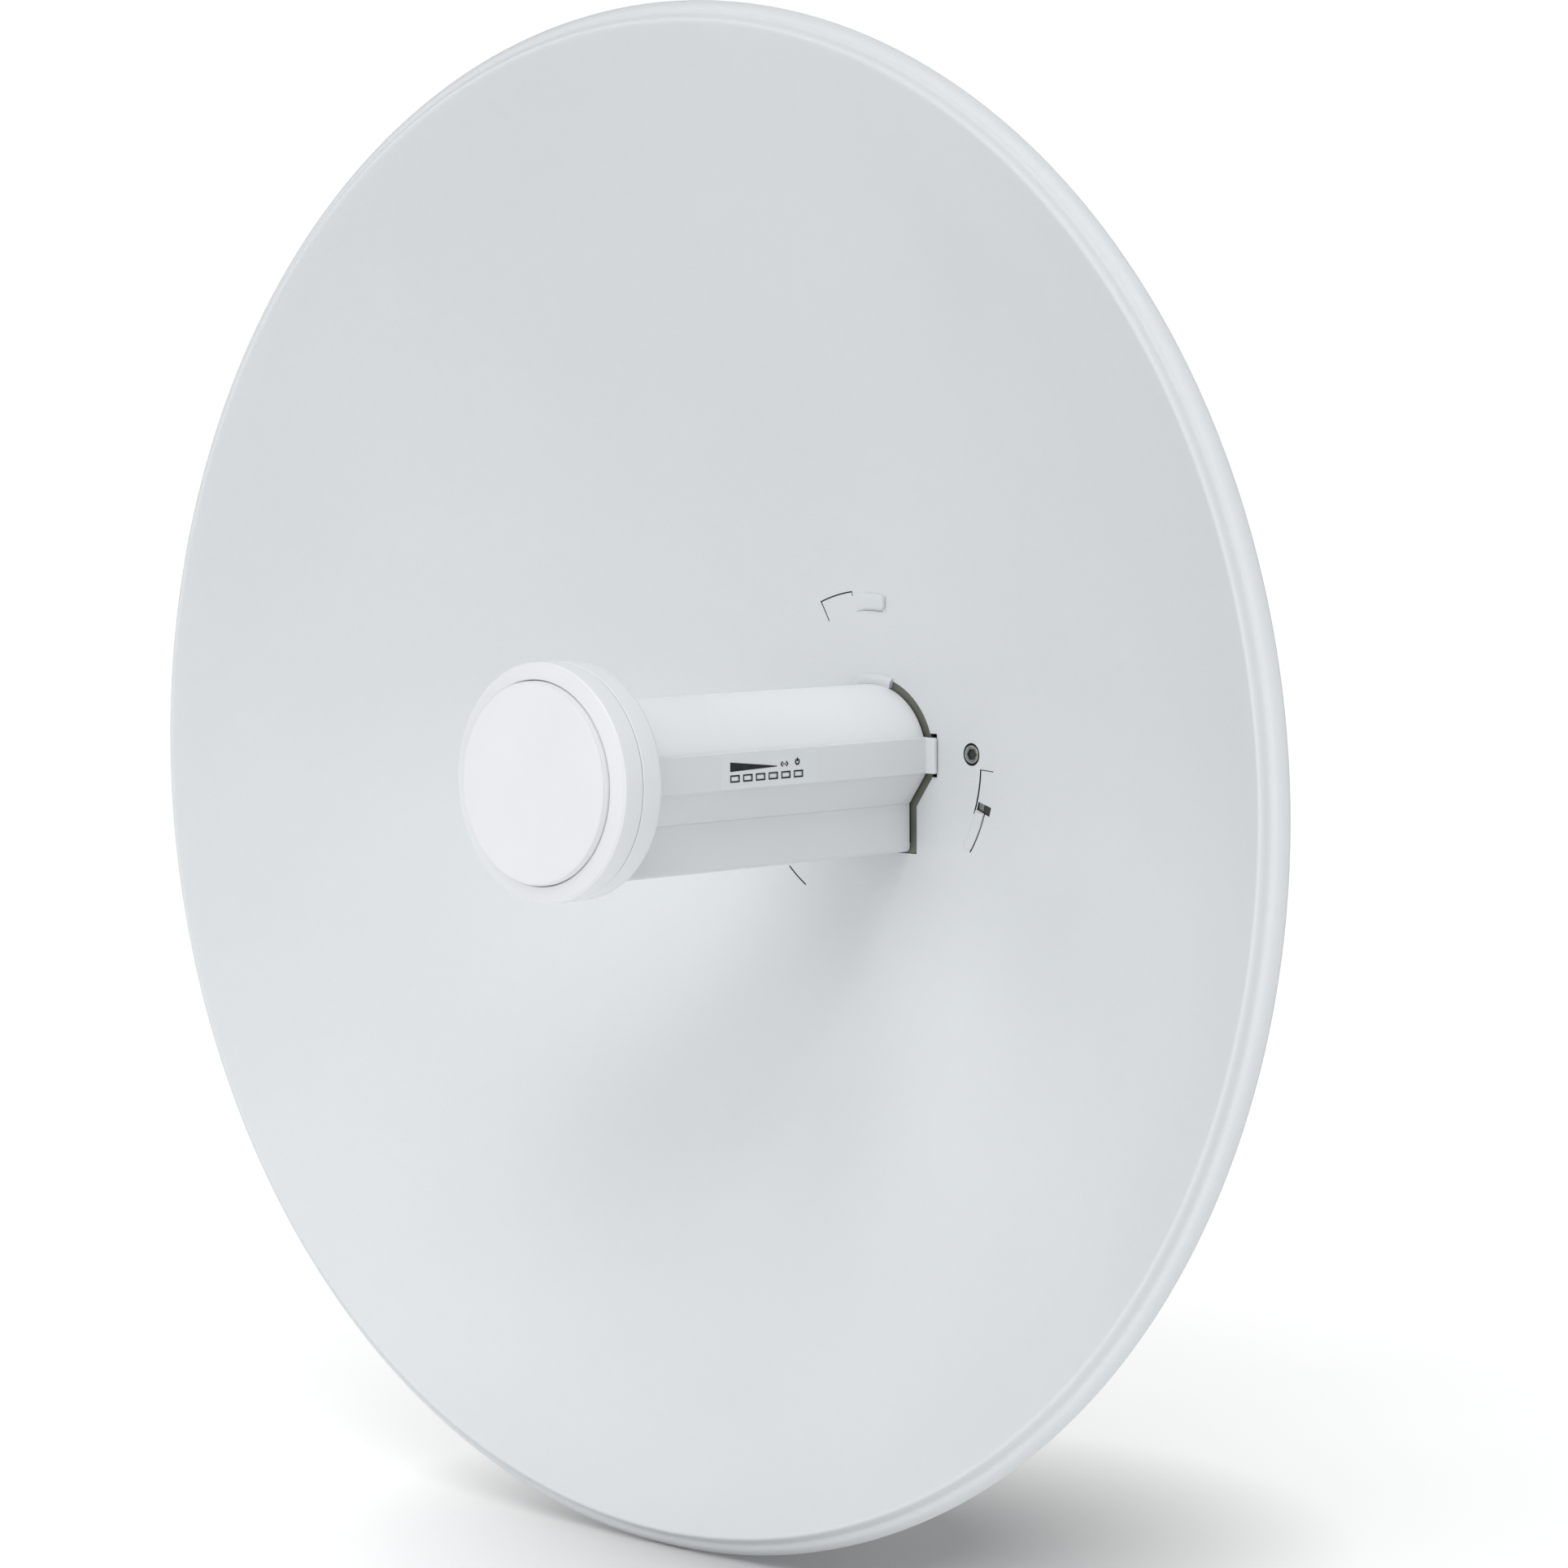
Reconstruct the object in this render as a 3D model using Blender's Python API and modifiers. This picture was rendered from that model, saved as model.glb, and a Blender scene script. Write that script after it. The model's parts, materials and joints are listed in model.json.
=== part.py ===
"""Outdoor wireless bridge: a 520 mm dish reflector with a plug-in feed on a tilting pole mount.

Metres, +Z up. The origin is on the pole's axis, level with the middle of the pole bracket.
The dish looks along -Y. Pieces on the dish are modelled in the dish's own frame, whose
x is right, y is up and z runs out of the bowl, and whose origin is the rim's centre.
"""

import math

import bmesh
import bpy
from mathutils import Vector

# Reflector
RIM_RADIUS = 0.260
BOWL_DEPTH = 0.106
HUB_RADIUS = 0.032
BOWL_POWER = 1.8
SHEET = 0.0010
BOWL_EDGE = 0.2532
LIP_HEIGHT = 0.0053
RIM_Y = -0.2328
FEED_RISE = 0.0036

# Feed: head, tube and the plug that enters the rear housing
HEAD_RADIUS = 0.0396
HEAD_FRONT = 0.0608
HEAD_BACK = 0.0385
CAP_RADIUS = 0.0336
CAP_WALL = 0.0018
TUBE_RADIUS = 0.0255
TUBE_WALL = 0.0020
KEEL_HALF_WIDTH = 0.0176
KEEL_BOTTOM = -0.0329
CREASE_HEIGHT = -0.0159
SHOULDER = (0.0249, -0.0056)
TUBE_FRONT = 0.0382
TUBE_END = -0.1052
SPIGOT_FRONT = -0.0960
SPIGOT_END = -0.1340
FEED_GAP = 0.0027

# LED rail on the right side of the tube
RAIL_FACE = 0.0263
RAIL_LOW = -0.0050
RAIL_HIGH = 0.0078
LIP_REACH = 0.0303
LED_COUNT = 6
LED_FIRST = -0.0077
LED_PITCH = 0.0062
LED_HEIGHT = -0.0011
LED_SIZE = (0.0046, 0.0025)

# Bayonet between reflector and rear housing
BAYONET_COUNT = 3
BAYONET_START = math.radians(115)
BAYONET_RADII = (0.0520, 0.0590)
WINDOW_ANGLES = (math.radians(9), math.radians(16))
SCREW_AT = (0.0464, 0.0026)

# Rear housing
HOUSING_RADIUS = 0.066
HOUSING_WALL = 0.003
HOUSING_FRONT = -0.1073
HOUSING_BACK = -0.1425
PORT_SIZE = (0.028, 0.026)
PORT_DEPTH = -0.1250
BUTTON_DEPTH = -0.1250
BUTTON_RADIUS = 0.0060

# Tilt joint and pole clamp
PIVOT = (0.0, -0.058, 0.012)
LOCK_RADIUS = 0.028
TILT_LIMIT = math.radians(20)
PLATE = 0.003
BOLT_RADIUS = 0.004
BOLT_PLAY = 0.0003
NUT_ACROSS_FLATS = 0.013
POLE_EAR_X = 0.0262
TILT_EAR_X = 0.0295
POLE_WEB_Y = -0.035
TILT_WEB_Y = -0.090
SADDLE_HALF_WIDTH = 0.049
SADDLE_TIP_Y = -0.008
POLE_RADIUS = 0.025
V_SLOPE = math.tan(math.radians(30))
CLAMP_BOLT_X = 0.039
CLAMP_BOLT_END = 0.056
GAP = 0.0003

WHITE = ((0.80, 0.82, 0.83), 0.45, 0.0)
LIGHT = ((0.88, 0.89, 0.90), 0.35, 0.0)
DARK = ((0.07, 0.075, 0.07), 0.55, 0.0)
STEEL = ((0.55, 0.56, 0.57), 0.35, 1.0)
GALVANISED = ((0.60, 0.61, 0.62), 0.50, 1.0)
COPPER_BOARD = ((0.05, 0.25, 0.12), 0.50, 0.0)
TIN = ((0.70, 0.70, 0.68), 0.30, 1.0)
RUBBER = ((0.03, 0.03, 0.03), 0.80, 0.0)
CLEAR = ((0.85, 0.90, 0.88), 0.15, 0.0)

MODEL = "outdoor_wireless_bridge"


# ---------------------------------------------------------------- scene and helpers


def clear_scene():
    for obj in list(bpy.data.objects):
        bpy.data.objects.remove(obj)
    for group in list(bpy.data.collections):
        bpy.data.collections.remove(group)


def collection(name):
    made = bpy.data.collections.new(name)
    bpy.context.scene.collection.children.link(made)
    return made


clear_scene()
PARTS = collection(MODEL)
CUTTERS = collection("cutters")


def frame(name, location, parent=None, tipped=False):
    """An empty that pieces hang on. A tipped one has its z along the dish's boresight."""
    empty = bpy.data.objects.new(name, None)
    empty.location = location
    if tipped:
        empty.rotation_euler = (math.pi / 2, 0, 0)
    empty.parent = parent
    PARTS.objects.link(empty)
    return empty


def material(name, look):
    colour, roughness, metallic = look
    made = bpy.data.materials.new(name)
    made.use_nodes = True
    shader = made.node_tree.nodes["Principled BSDF"]
    shader.inputs["Base Color"].default_value = (*colour, 1.0)
    shader.inputs["Roughness"].default_value = roughness
    shader.inputs["Metallic"].default_value = metallic
    return made


def place(obj, parent, at=(0, 0, 0), turn=(0, 0, 0)):
    obj.parent = parent
    obj.location = at
    obj.rotation_euler = turn
    return obj


def finish(obj, look, parent, at=(0, 0, 0), turn=(0, 0, 0)):
    """Puts a finished piece in the model with its own material."""
    PARTS.objects.link(obj)
    obj.data.materials.clear()
    obj.data.materials.append(material(obj.name, look))
    obj.data.shade_smooth()
    obj.data.set_sharp_from_angle(angle=math.radians(35))
    return place(obj, parent, at, turn)


def tool(obj, parent, at=(0, 0, 0), turn=(0, 0, 0)):
    """Puts a helper shape among the cutters."""
    CUTTERS.objects.link(obj)
    obj.hide_render = True
    obj.display_type = "WIRE"
    return place(obj, parent, at, turn)


def boolean(obj, other, operation):
    modifier = obj.modifiers.new(other.name, "BOOLEAN")
    modifier.operation = operation
    modifier.object = other
    modifier.solver = "EXACT"


def mesh_object(name, bm):
    mesh = bpy.data.meshes.new(name)
    bmesh.ops.recalc_face_normals(bm, faces=bm.faces)
    bm.to_mesh(mesh)
    bm.free()
    return bpy.data.objects.new(name, mesh)


def box(name, low, high, bevel=0.0):
    bm = bmesh.new()
    bmesh.ops.create_cube(bm, size=1.0)
    size = Vector(high) - Vector(low)
    bmesh.ops.scale(bm, vec=size, verts=bm.verts)
    bmesh.ops.translate(bm, vec=(Vector(high) + Vector(low)) / 2, verts=bm.verts)
    made = mesh_object(name, bm)
    if bevel:
        rounding = made.modifiers.new("edges", "BEVEL")
        rounding.width = bevel
        rounding.segments = 1
    return made


def prism(name, radius, low, high, sides=24):
    """A cylinder along z, or a hexagonal prism with six sides."""
    bm = bmesh.new()
    bmesh.ops.create_cone(
        bm, cap_ends=True, segments=sides, radius1=radius, radius2=radius, depth=high - low
    )
    bmesh.ops.translate(bm, vec=(0, 0, (low + high) / 2), verts=bm.verts)
    return mesh_object(name, bm)


def turned(name, profile, steps, closed=False):
    """Turns (radius, z) points about z. A closed profile is a ring that stays off the axis."""
    count = len(profile)
    area = sum(
        profile[i][0] * profile[(i + 1) % count][1] - profile[(i + 1) % count][0] * profile[i][1]
        for i in range(count)
    )
    points = profile if area < 0 else profile[::-1]
    edges = [(i, i + 1) for i in range(count - 1)]
    if closed:
        edges.append((count - 1, 0))
    mesh = bpy.data.meshes.new(name)
    mesh.from_pydata([(r, 0, z) for r, z in points], edges, [])
    made = bpy.data.objects.new(name, mesh)
    screw = made.modifiers.new("turn", "SCREW")
    screw.axis = "Z"
    screw.steps = steps
    screw.render_steps = steps
    screw.use_merge_vertices = True
    screw.merge_threshold = 0.00001
    screw.use_smooth_shade = True
    return made


def flat(name, outline, holes, low, high):
    """A flat outline in x and y with its holes, as thick as from z low to z high."""
    curve = bpy.data.curves.new(name, "CURVE")
    curve.dimensions = "2D"
    curve.fill_mode = "BOTH"
    curve.extrude = (high - low) / 2
    for loop in [outline, *holes]:
        spline = curve.splines.new("POLY")
        spline.points.add(len(loop) - 1)
        for point, (x, y) in zip(spline.points, loop):
            point.co = (x, y, 0, 1)
        spline.use_cyclic_u = True
    source = bpy.data.objects.new(name, curve)
    bpy.context.scene.collection.objects.link(source)
    depsgraph = bpy.context.evaluated_depsgraph_get()
    mesh = bpy.data.meshes.new_from_object(source.evaluated_get(depsgraph))
    bpy.data.objects.remove(source)
    bpy.data.curves.remove(curve)
    bm = bmesh.new()
    bm.from_mesh(mesh)
    bpy.data.meshes.remove(mesh)
    bmesh.ops.remove_doubles(bm, verts=bm.verts, dist=0.000001)
    bmesh.ops.translate(bm, vec=(0, 0, (low + high) / 2), verts=bm.verts)
    return mesh_object(name, bm)


def arc(radius, start, end, steps, centre=(0, 0)):
    return [
        (
            centre[0] + radius * math.cos(start + (end - start) * i / steps),
            centre[1] + radius * math.sin(start + (end - start) * i / steps),
        )
        for i in range(steps + 1)
    ]


def circle(radius, steps=24, centre=(0, 0)):
    return arc(radius, 0, 2 * math.pi, steps, centre)[:-1]


def sector(radii, start, end, steps=4):
    """The piece of a ring between two radii and two angles."""
    return arc(radii[0], start, end, steps) + arc(radii[1], end, start, steps)


# ---------------------------------------------------------------- frames of the bodies

POLE_MOUNT = frame("pole_mount_frame", (0, 0, 0))
CLAMP = frame("clamp_frame", (0, 0, 0), POLE_MOUNT)
TILT = frame("elevation_pivot", PIVOT, POLE_MOUNT)
BOWL = frame("bowl_frame", (0, RIM_Y - PIVOT[1], -PIVOT[2]), TILT, tipped=True)
FEED = frame("feed_frame", (0, FEED_RISE, 0), BOWL)
RELEASE = frame("release_frame", (0, HOUSING_RADIUS, BUTTON_DEPTH), FEED)
PORT_HINGE = (0, -HOUSING_RADIUS + 0.0015, PORT_DEPTH - PORT_SIZE[1] / 2 + 0.0020)
DOOR = frame("door_hinge", PORT_HINGE, FEED)
RESET = frame("reset_frame", (0, KEEL_BOTTOM + 0.0024, -0.1080), FEED)


# ---------------------------------------------------------------- reflector


def bowl_z(radius):
    """Height of the bowl's front surface, from its flat hub out to the lip."""
    share = max(0.0, radius - HUB_RADIUS) / (BOWL_EDGE - HUB_RADIUS)
    return -BOWL_DEPTH + (BOWL_DEPTH + LIP_HEIGHT) * share**BOWL_POWER


def bowl_point(radius, behind=0.0):
    """A point on the bowl's front surface, or that far behind it along its normal."""
    step = 0.0005
    slope = (bowl_z(radius + step) - bowl_z(max(0.0, radius - step))) / (2 * step)
    if radius == 0:
        slope = 0.0
    length = math.hypot(1, slope)
    return radius + behind * slope / length, bowl_z(radius) - behind / length


def tube_section(inset):
    """The tube's cross-section: a round back on a narrower flat-bottomed keel."""
    radius = TUBE_RADIUS - inset
    rise = Vector((SHOULDER[0] - KEEL_HALF_WIDTH, SHOULDER[1] - CREASE_HEIGHT)).normalized()
    start = Vector((KEEL_HALF_WIDTH, CREASE_HEIGHT)) + inset * Vector((-rise.y, rise.x))
    side = KEEL_HALF_WIDTH - inset
    crease = start + rise * ((side - start.x) / rise.x)
    along = start.dot(rise)
    reach = -along + math.sqrt(along**2 - start.length_squared + radius**2)
    shoulder = start + rise * reach
    angle = math.atan2(shoulder.y, shoulder.x)
    bottom = KEEL_BOTTOM + inset
    corner = 0.0015
    keel = [
        (-side, crease.y),
        (-side, bottom + corner),
        (-side + corner, bottom),
        (side - corner, bottom),
        (side, bottom + corner),
        (side, crease.y),
    ]
    back = arc(radius, angle, math.pi - angle, 20)
    return keel, back


def whole_section(inset):
    keel, back = tube_section(inset)
    return keel + back


def bayonet_angles(from_start, to_start):
    for index in range(BAYONET_COUNT):
        start = BAYONET_START - index * 2 * math.pi / BAYONET_COUNT
        yield index, start - from_start, start - to_start


def make_reflector():
    radii = (0, HUB_RADIUS, 0.050, 0.070, 0.095, 0.120, 0.150, 0.180, 0.212, 0.236, BOWL_EDGE)
    front = [bowl_point(r) for r in radii]
    rim = [
        (0.2539, 0.0054),
        (0.2547, 0.0044),
        (0.2554, 0.0032),
        (0.2568, 0.0021),
        (0.2583, 0.0008),
        (0.2594, -0.0004),
        (RIM_RADIUS, -0.0014),
        (0.2595, -0.0022),
        (0.2585, -0.0023),
        (0.2584, -0.0009),
        (0.2572, 0.0004),
        (0.2558, 0.0016),
        (0.2545, 0.0029),
        (0.2537, 0.0040),
    ]
    back = [bowl_point(r, SHEET) for r in (0.2520, *radii[-2::-1])]
    back[-1] = (0.0, back[-1][1])
    dish = turned("reflector", front + rim + back, 72)
    depth = (-0.130, -0.080)
    keyhole = flat("keyhole_cutter", whole_section(-FEED_GAP), [], *depth)
    boolean(dish, tool(keyhole, FEED), "DIFFERENCE")
    notch = box(
        "notch_cutter",
        (0.0200, RAIL_LOW - 0.0007, depth[0]),
        (LIP_REACH + 0.0006, RAIL_HIGH + 0.0007, depth[1]),
    )
    boolean(dish, tool(notch, FEED), "DIFFERENCE")
    screw = prism("screw_hole_cutter", 0.0034, *depth)
    boolean(dish, tool(screw, FEED, (*SCREW_AT, 0)), "DIFFERENCE")
    for index, start, end in bayonet_angles(*WINDOW_ANGLES):
        window = flat(f"window_cutter_{index + 1}", sector(BAYONET_RADII, start, end), [], *depth)
        boolean(dish, tool(window, FEED), "DIFFERENCE")
    finish(dish, WHITE, BOWL)


def make_reflector_screw():
    """Hex-socket screw that stops the reflector turning back off its bayonet."""
    head = (-0.1044, -0.1020)
    screw = prism("reflector_screw", 0.0030, -0.1180, head[0] + 0.0005, 20)
    boolean(screw, tool(prism("screw_head_shape", 0.0042, *head, 24), FEED, (*SCREW_AT, 0)), "UNION")
    socket = prism("screw_socket_cutter", 0.0023, head[1] - 0.0022, head[1] + 0.001, 6)
    boolean(screw, tool(socket, FEED, (*SCREW_AT, 0)), "DIFFERENCE")
    finish(screw, STEEL, FEED, (*SCREW_AT, 0))


# ---------------------------------------------------------------- rear housing and its movers


def make_rear_housing():
    inner = HOUSING_RADIUS - HOUSING_WALL
    profile = [
        (0.0340, HOUSING_FRONT),
        (HOUSING_RADIUS - 0.001, HOUSING_FRONT),
        (HOUSING_RADIUS, HOUSING_FRONT - 0.001),
        (HOUSING_RADIUS, HOUSING_BACK + 0.004),
        (HOUSING_RADIUS - 0.004, HOUSING_BACK),
        (0.0, HOUSING_BACK),
        (0.0, HOUSING_BACK + HOUSING_WALL),
        (inner - 0.003, HOUSING_BACK + HOUSING_WALL),
        (inner, HOUSING_BACK + HOUSING_WALL + 0.003),
        (inner, HOUSING_FRONT - HOUSING_WALL),
        (0.0340, HOUSING_FRONT - HOUSING_WALL),
        (0.0340, HOUSING_FRONT),
    ]
    housing = turned("rear_housing", profile[::-1], 48)
    for index, start, end in bayonet_angles(math.radians(10), math.radians(15)):
        radii = (BAYONET_RADII[0] + 0.001, BAYONET_RADII[1] - 0.001)
        lug = flat(f"lug_shape_{index + 1}", sector(radii, start, end), [], -0.1085, -0.1035)
        boolean(housing, tool(lug, FEED), "UNION")
    for index, (x, y) in enumerate(bracket_screw_places()):
        low = HOUSING_BACK + HOUSING_WALL - 0.001
        boss = prism(f"boss_shape_{index + 1}", 0.006, low, low + 0.0055, 20)
        boolean(housing, tool(boss, FEED, (x, y, 0)), "UNION")
        hole = prism(f"boss_hole_cutter_{index + 1}", 0.0033, HOUSING_BACK - 0.001, low + 0.009, 20)
        boolean(housing, tool(hole, FEED, (x, y, 0)), "DIFFERENCE")
    thread = prism("lock_screw_hole_cutter", 0.0033, -0.120, -0.100)
    boolean(housing, tool(thread, FEED, (*SCREW_AT, 0)), "DIFFERENCE")
    button = prism("button_hole_cutter", BUTTON_RADIUS + GAP, -0.008, 0.004)
    boolean(housing, tool(button, RELEASE, turn=(-math.pi / 2, 0, 0)), "DIFFERENCE")
    half = PORT_SIZE[0] / 2
    port = box(
        "port_cutter",
        (-half, -HOUSING_RADIUS - 0.002, PORT_DEPTH - PORT_SIZE[1] / 2),
        (half, -0.055, PORT_DEPTH + PORT_SIZE[1] / 2),
    )
    boolean(housing, tool(port, FEED), "DIFFERENCE")
    finish(housing, LIGHT, FEED)


def make_release_button():
    """Push button on top of the housing that frees the feed's catch."""
    profile = [
        (0.0, 0.0015),
        (BUTTON_RADIUS - 0.0012, 0.0015),
        (BUTTON_RADIUS, 0.0005),
        (BUTTON_RADIUS, -HOUSING_WALL - 0.0004),
        (BUTTON_RADIUS + 0.0018, -HOUSING_WALL - 0.0006),
        (BUTTON_RADIUS + 0.0018, -HOUSING_WALL - 0.0021),
        (0.0030, -HOUSING_WALL - 0.0021),
        (0.0030, -0.0320),
        (0.0, -0.0320),
    ]
    button = turned("release_button", profile, 24)
    finish(button, DARK, RELEASE, turn=(-math.pi / 2, 0, 0))


def make_port_door():
    """Flap over the cable opening in the housing's underside, hinged at its rear edge."""
    half = PORT_SIZE[0] / 2 - 0.0005
    length = PORT_SIZE[1] - 0.0010
    plate = box("port_door", (-half, -0.0012, -0.0012), (half, 0.0012, length - 0.0012), 0.0004)
    grip = box("door_grip_shape", (-0.006, -0.0028, length - 0.0050), (0.006, 0.0, length - 0.0034))
    boolean(plate, tool(grip, DOOR), "UNION")
    finish(plate, LIGHT, DOOR)


# ---------------------------------------------------------------- feed head


def make_feed_head():
    cap = [
        (0.0, HEAD_FRONT),
        (CAP_RADIUS - 0.0010, HEAD_FRONT),
        (CAP_RADIUS - 0.0002, HEAD_FRONT - 0.0008),
        (CAP_RADIUS, HEAD_FRONT - 0.0024),
        (CAP_RADIUS, 0.0555),
        (CAP_RADIUS - CAP_WALL, 0.0555),
        (CAP_RADIUS - CAP_WALL, HEAD_FRONT - CAP_WALL),
        (0.0, HEAD_FRONT - CAP_WALL),
    ]
    finish(turned("feed_cap", cap, 56), LIGHT, FEED)
    wall = HEAD_RADIUS - 0.0022
    front = [
        (HEAD_RADIUS, 0.0487),
        (HEAD_RADIUS, 0.0560),
        (HEAD_RADIUS - 0.0003, 0.0566),
        (HEAD_RADIUS - 0.0010, 0.0570),
        (CAP_RADIUS + 0.0009, 0.0584),
        (CAP_RADIUS + 0.0004, 0.0581),
        (CAP_RADIUS + 0.0004, 0.0552),
        (0.0300, 0.0552),
        (0.0300, 0.0532),
        (wall - 0.0020, 0.0532),
        (wall, 0.0512),
        (wall, 0.0487),
    ]
    finish(turned("radome_front", front, 56, closed=True), LIGHT, FEED)
    rear = [
        (HEAD_RADIUS, 0.0484),
        (HEAD_RADIUS, 0.0424),
        (HEAD_RADIUS - 0.0007, 0.0402),
        (HEAD_RADIUS - 0.0026, HEAD_BACK),
        (0.0140, HEAD_BACK),
        (0.0140, HEAD_BACK + 0.0020),
        (wall - 0.0015, HEAD_BACK + 0.0020),
        (wall, 0.0424),
        (wall, 0.0484),
    ]
    finish(turned("radome_rear", rear, 56, closed=True), LIGHT, FEED)
    ring_radius, seal_radius = wall - 0.0013, 0.0009
    seal = [(ring_radius + x, 0.0485 + y) for x, y in circle(seal_radius, 8)]
    finish(turned("head_seal", seal, 40, closed=True), RUBBER, FEED)
    finish(prism("subreflector", 0.0330, 0.0512, 0.0524, 40), TIN, FEED)
    finish(prism("radiator_board", 0.0240, 0.0450, 0.0466, 32), COPPER_BOARD, FEED)


def make_pigtails():
    """Two coaxial leads from the radiator board down to the main board."""
    for name, side in (("rf_pigtail_left", -1), ("rf_pigtail_right", 1)):
        path = [
            (side * 0.0080, -0.0020, 0.0445),
            (side * 0.0080, -0.0028, 0.0415),
            (side * 0.0082, -0.0060, 0.0370),
            (side * 0.0084, -0.0095, 0.0325),
            (side * 0.0085, -0.0118, 0.0285),
            (side * 0.0085, -0.0126, 0.0240),
        ]
        curve = bpy.data.curves.new(name, "CURVE")
        curve.dimensions = "3D"
        curve.bevel_depth = 0.0007
        curve.bevel_resolution = 1
        curve.use_fill_caps = True
        spline = curve.splines.new("POLY")
        spline.points.add(len(path) - 1)
        for point, place_at in zip(spline.points, path):
            point.co = (*place_at, 1)
        lead = bpy.data.objects.new(name, curve)
        PARTS.objects.link(lead)
        curve.materials.append(material(name, TIN))
        place(lead, FEED)


# ---------------------------------------------------------------- feed tube


def make_tube_shells():
    keel, back = tube_section(0)
    inner_keel, inner_back = tube_section(TUBE_WALL)
    upper = [keel[5], *back, keel[0], inner_keel[0], *inner_back[::-1], inner_keel[5]]
    shell = flat("tube_upper_shell", upper, [], TUBE_END, TUBE_FRONT)
    window = box(
        "rail_window_cutter",
        (0.0200, RAIL_LOW - 0.0002, -0.1000),
        (0.0300, RAIL_HIGH + 0.0002, 0.0300),
    )
    boolean(shell, tool(window, FEED), "DIFFERENCE")
    finish(shell, LIGHT, FEED)
    top = CREASE_HEIGHT - GAP
    outer = [(-KEEL_HALF_WIDTH, top), *keel[1:5], (KEEL_HALF_WIDTH, top)]
    inner_side = KEEL_HALF_WIDTH - TUBE_WALL
    inner = [(inner_side, top), *inner_keel[1:5][::-1], (-inner_side, top)]
    lower = flat("tube_lower_shell", outer + inner, [], TUBE_END, TUBE_FRONT)
    for index, z in enumerate(shell_screw_places()):
        hole = prism(f"shell_hole_cutter_{index + 1}", 0.0018, -0.006, 0.006, 16)
        boolean(lower, tool(hole, FEED, (0, KEEL_BOTTOM, z), (math.pi / 2, 0, 0)), "DIFFERENCE")
    finish(lower, LIGHT, FEED)


def shell_screw_places():
    return (0.0200, -0.0700)


def make_shell_screws():
    for index, z in enumerate(shell_screw_places()):
        profile = [
            (0.0, 0.0012),
            (0.0026, 0.0010),
            (0.0028, GAP),
            (0.0014, GAP),
            (0.0014, -0.0100),
            (0.0, -0.0100),
        ]
        screw = turned(f"shell_screw_{index + 1}", profile, 16)
        finish(screw, STEEL, FEED, (0, KEEL_BOTTOM, z), (math.pi / 2, 0, 0))


def make_led_rail():
    plate = (TUBE_RADIUS + GAP, RAIL_FACE)
    rail = box("led_rail", (plate[0], RAIL_LOW, -0.1052), (plate[1], RAIL_HIGH, TUBE_FRONT))
    core = box(
        "rail_core_shape",
        (0.0236, RAIL_LOW + 0.0001, -0.0997),
        (plate[0] + 0.0003, RAIL_HIGH - 0.0001, 0.0297),
    )
    boolean(rail, tool(core, FEED), "UNION")
    lip = box(
        "rail_lip_shape",
        (plate[0] + 0.0001, RAIL_LOW + 0.0001, -0.1051),
        (LIP_REACH, RAIL_HIGH - 0.0001, -0.1036),
    )
    boolean(rail, tool(lip, FEED), "UNION")
    for index in range(LED_COUNT):
        z = LED_FIRST - index * LED_PITCH
        slot = box(f"led_slot_cutter_{index + 1}", *led_box(z, 0.0220, 0.0280, GAP))
        boolean(rail, tool(slot, FEED), "DIFFERENCE")
    finish(rail, LIGHT, FEED)
    last = LED_FIRST - (LED_COUNT - 1) * LED_PITCH
    pipe = box(
        "led_light_pipe",
        (0.0205, LED_HEIGHT - 0.0022, last - 0.004),
        (0.0230, LED_HEIGHT + 0.0022, LED_FIRST + 0.004),
    )
    for index in range(LED_COUNT):
        z = LED_FIRST - index * LED_PITCH
        finger = box(f"led_finger_shape_{index + 1}", *led_box(z, 0.0226, RAIL_FACE - 0.0002, 0))
        boolean(pipe, tool(finger, FEED), "UNION")
    finish(pipe, CLEAR, FEED)


def led_box(z, from_x, to_x, margin):
    half_length = LED_SIZE[0] / 2 + margin
    half_height = LED_SIZE[1] / 2 + margin
    low = (from_x, LED_HEIGHT - half_height, z - half_length)
    high = (to_x, LED_HEIGHT + half_height, z + half_length)
    return low, high


def make_spigot():
    """Dark rear end of the feed, which plugs into the housing and holds the network jack."""
    inset = TUBE_WALL + 0.0004
    spigot = flat("feed_spigot", whole_section(inset), [], SPIGOT_END, SPIGOT_FRONT)
    cavity = flat(
        "spigot_cavity_cutter",
        whole_section(inset + TUBE_WALL),
        [],
        SPIGOT_END + TUBE_WALL,
        SPIGOT_FRONT + 0.002,
    )
    boolean(spigot, tool(cavity, FEED), "DIFFERENCE")
    jack = box("jack_window_cutter", (-0.0082, -0.036, -0.1285), (0.0082, -0.026, -0.1115))
    boolean(spigot, tool(jack, FEED), "DIFFERENCE")
    reset = prism("reset_hole_cutter", 0.0021, -0.004, 0.004, 16)
    boolean(spigot, tool(reset, RESET, turn=(math.pi / 2, 0, 0)), "DIFFERENCE")
    finish(spigot, DARK, FEED)


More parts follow.
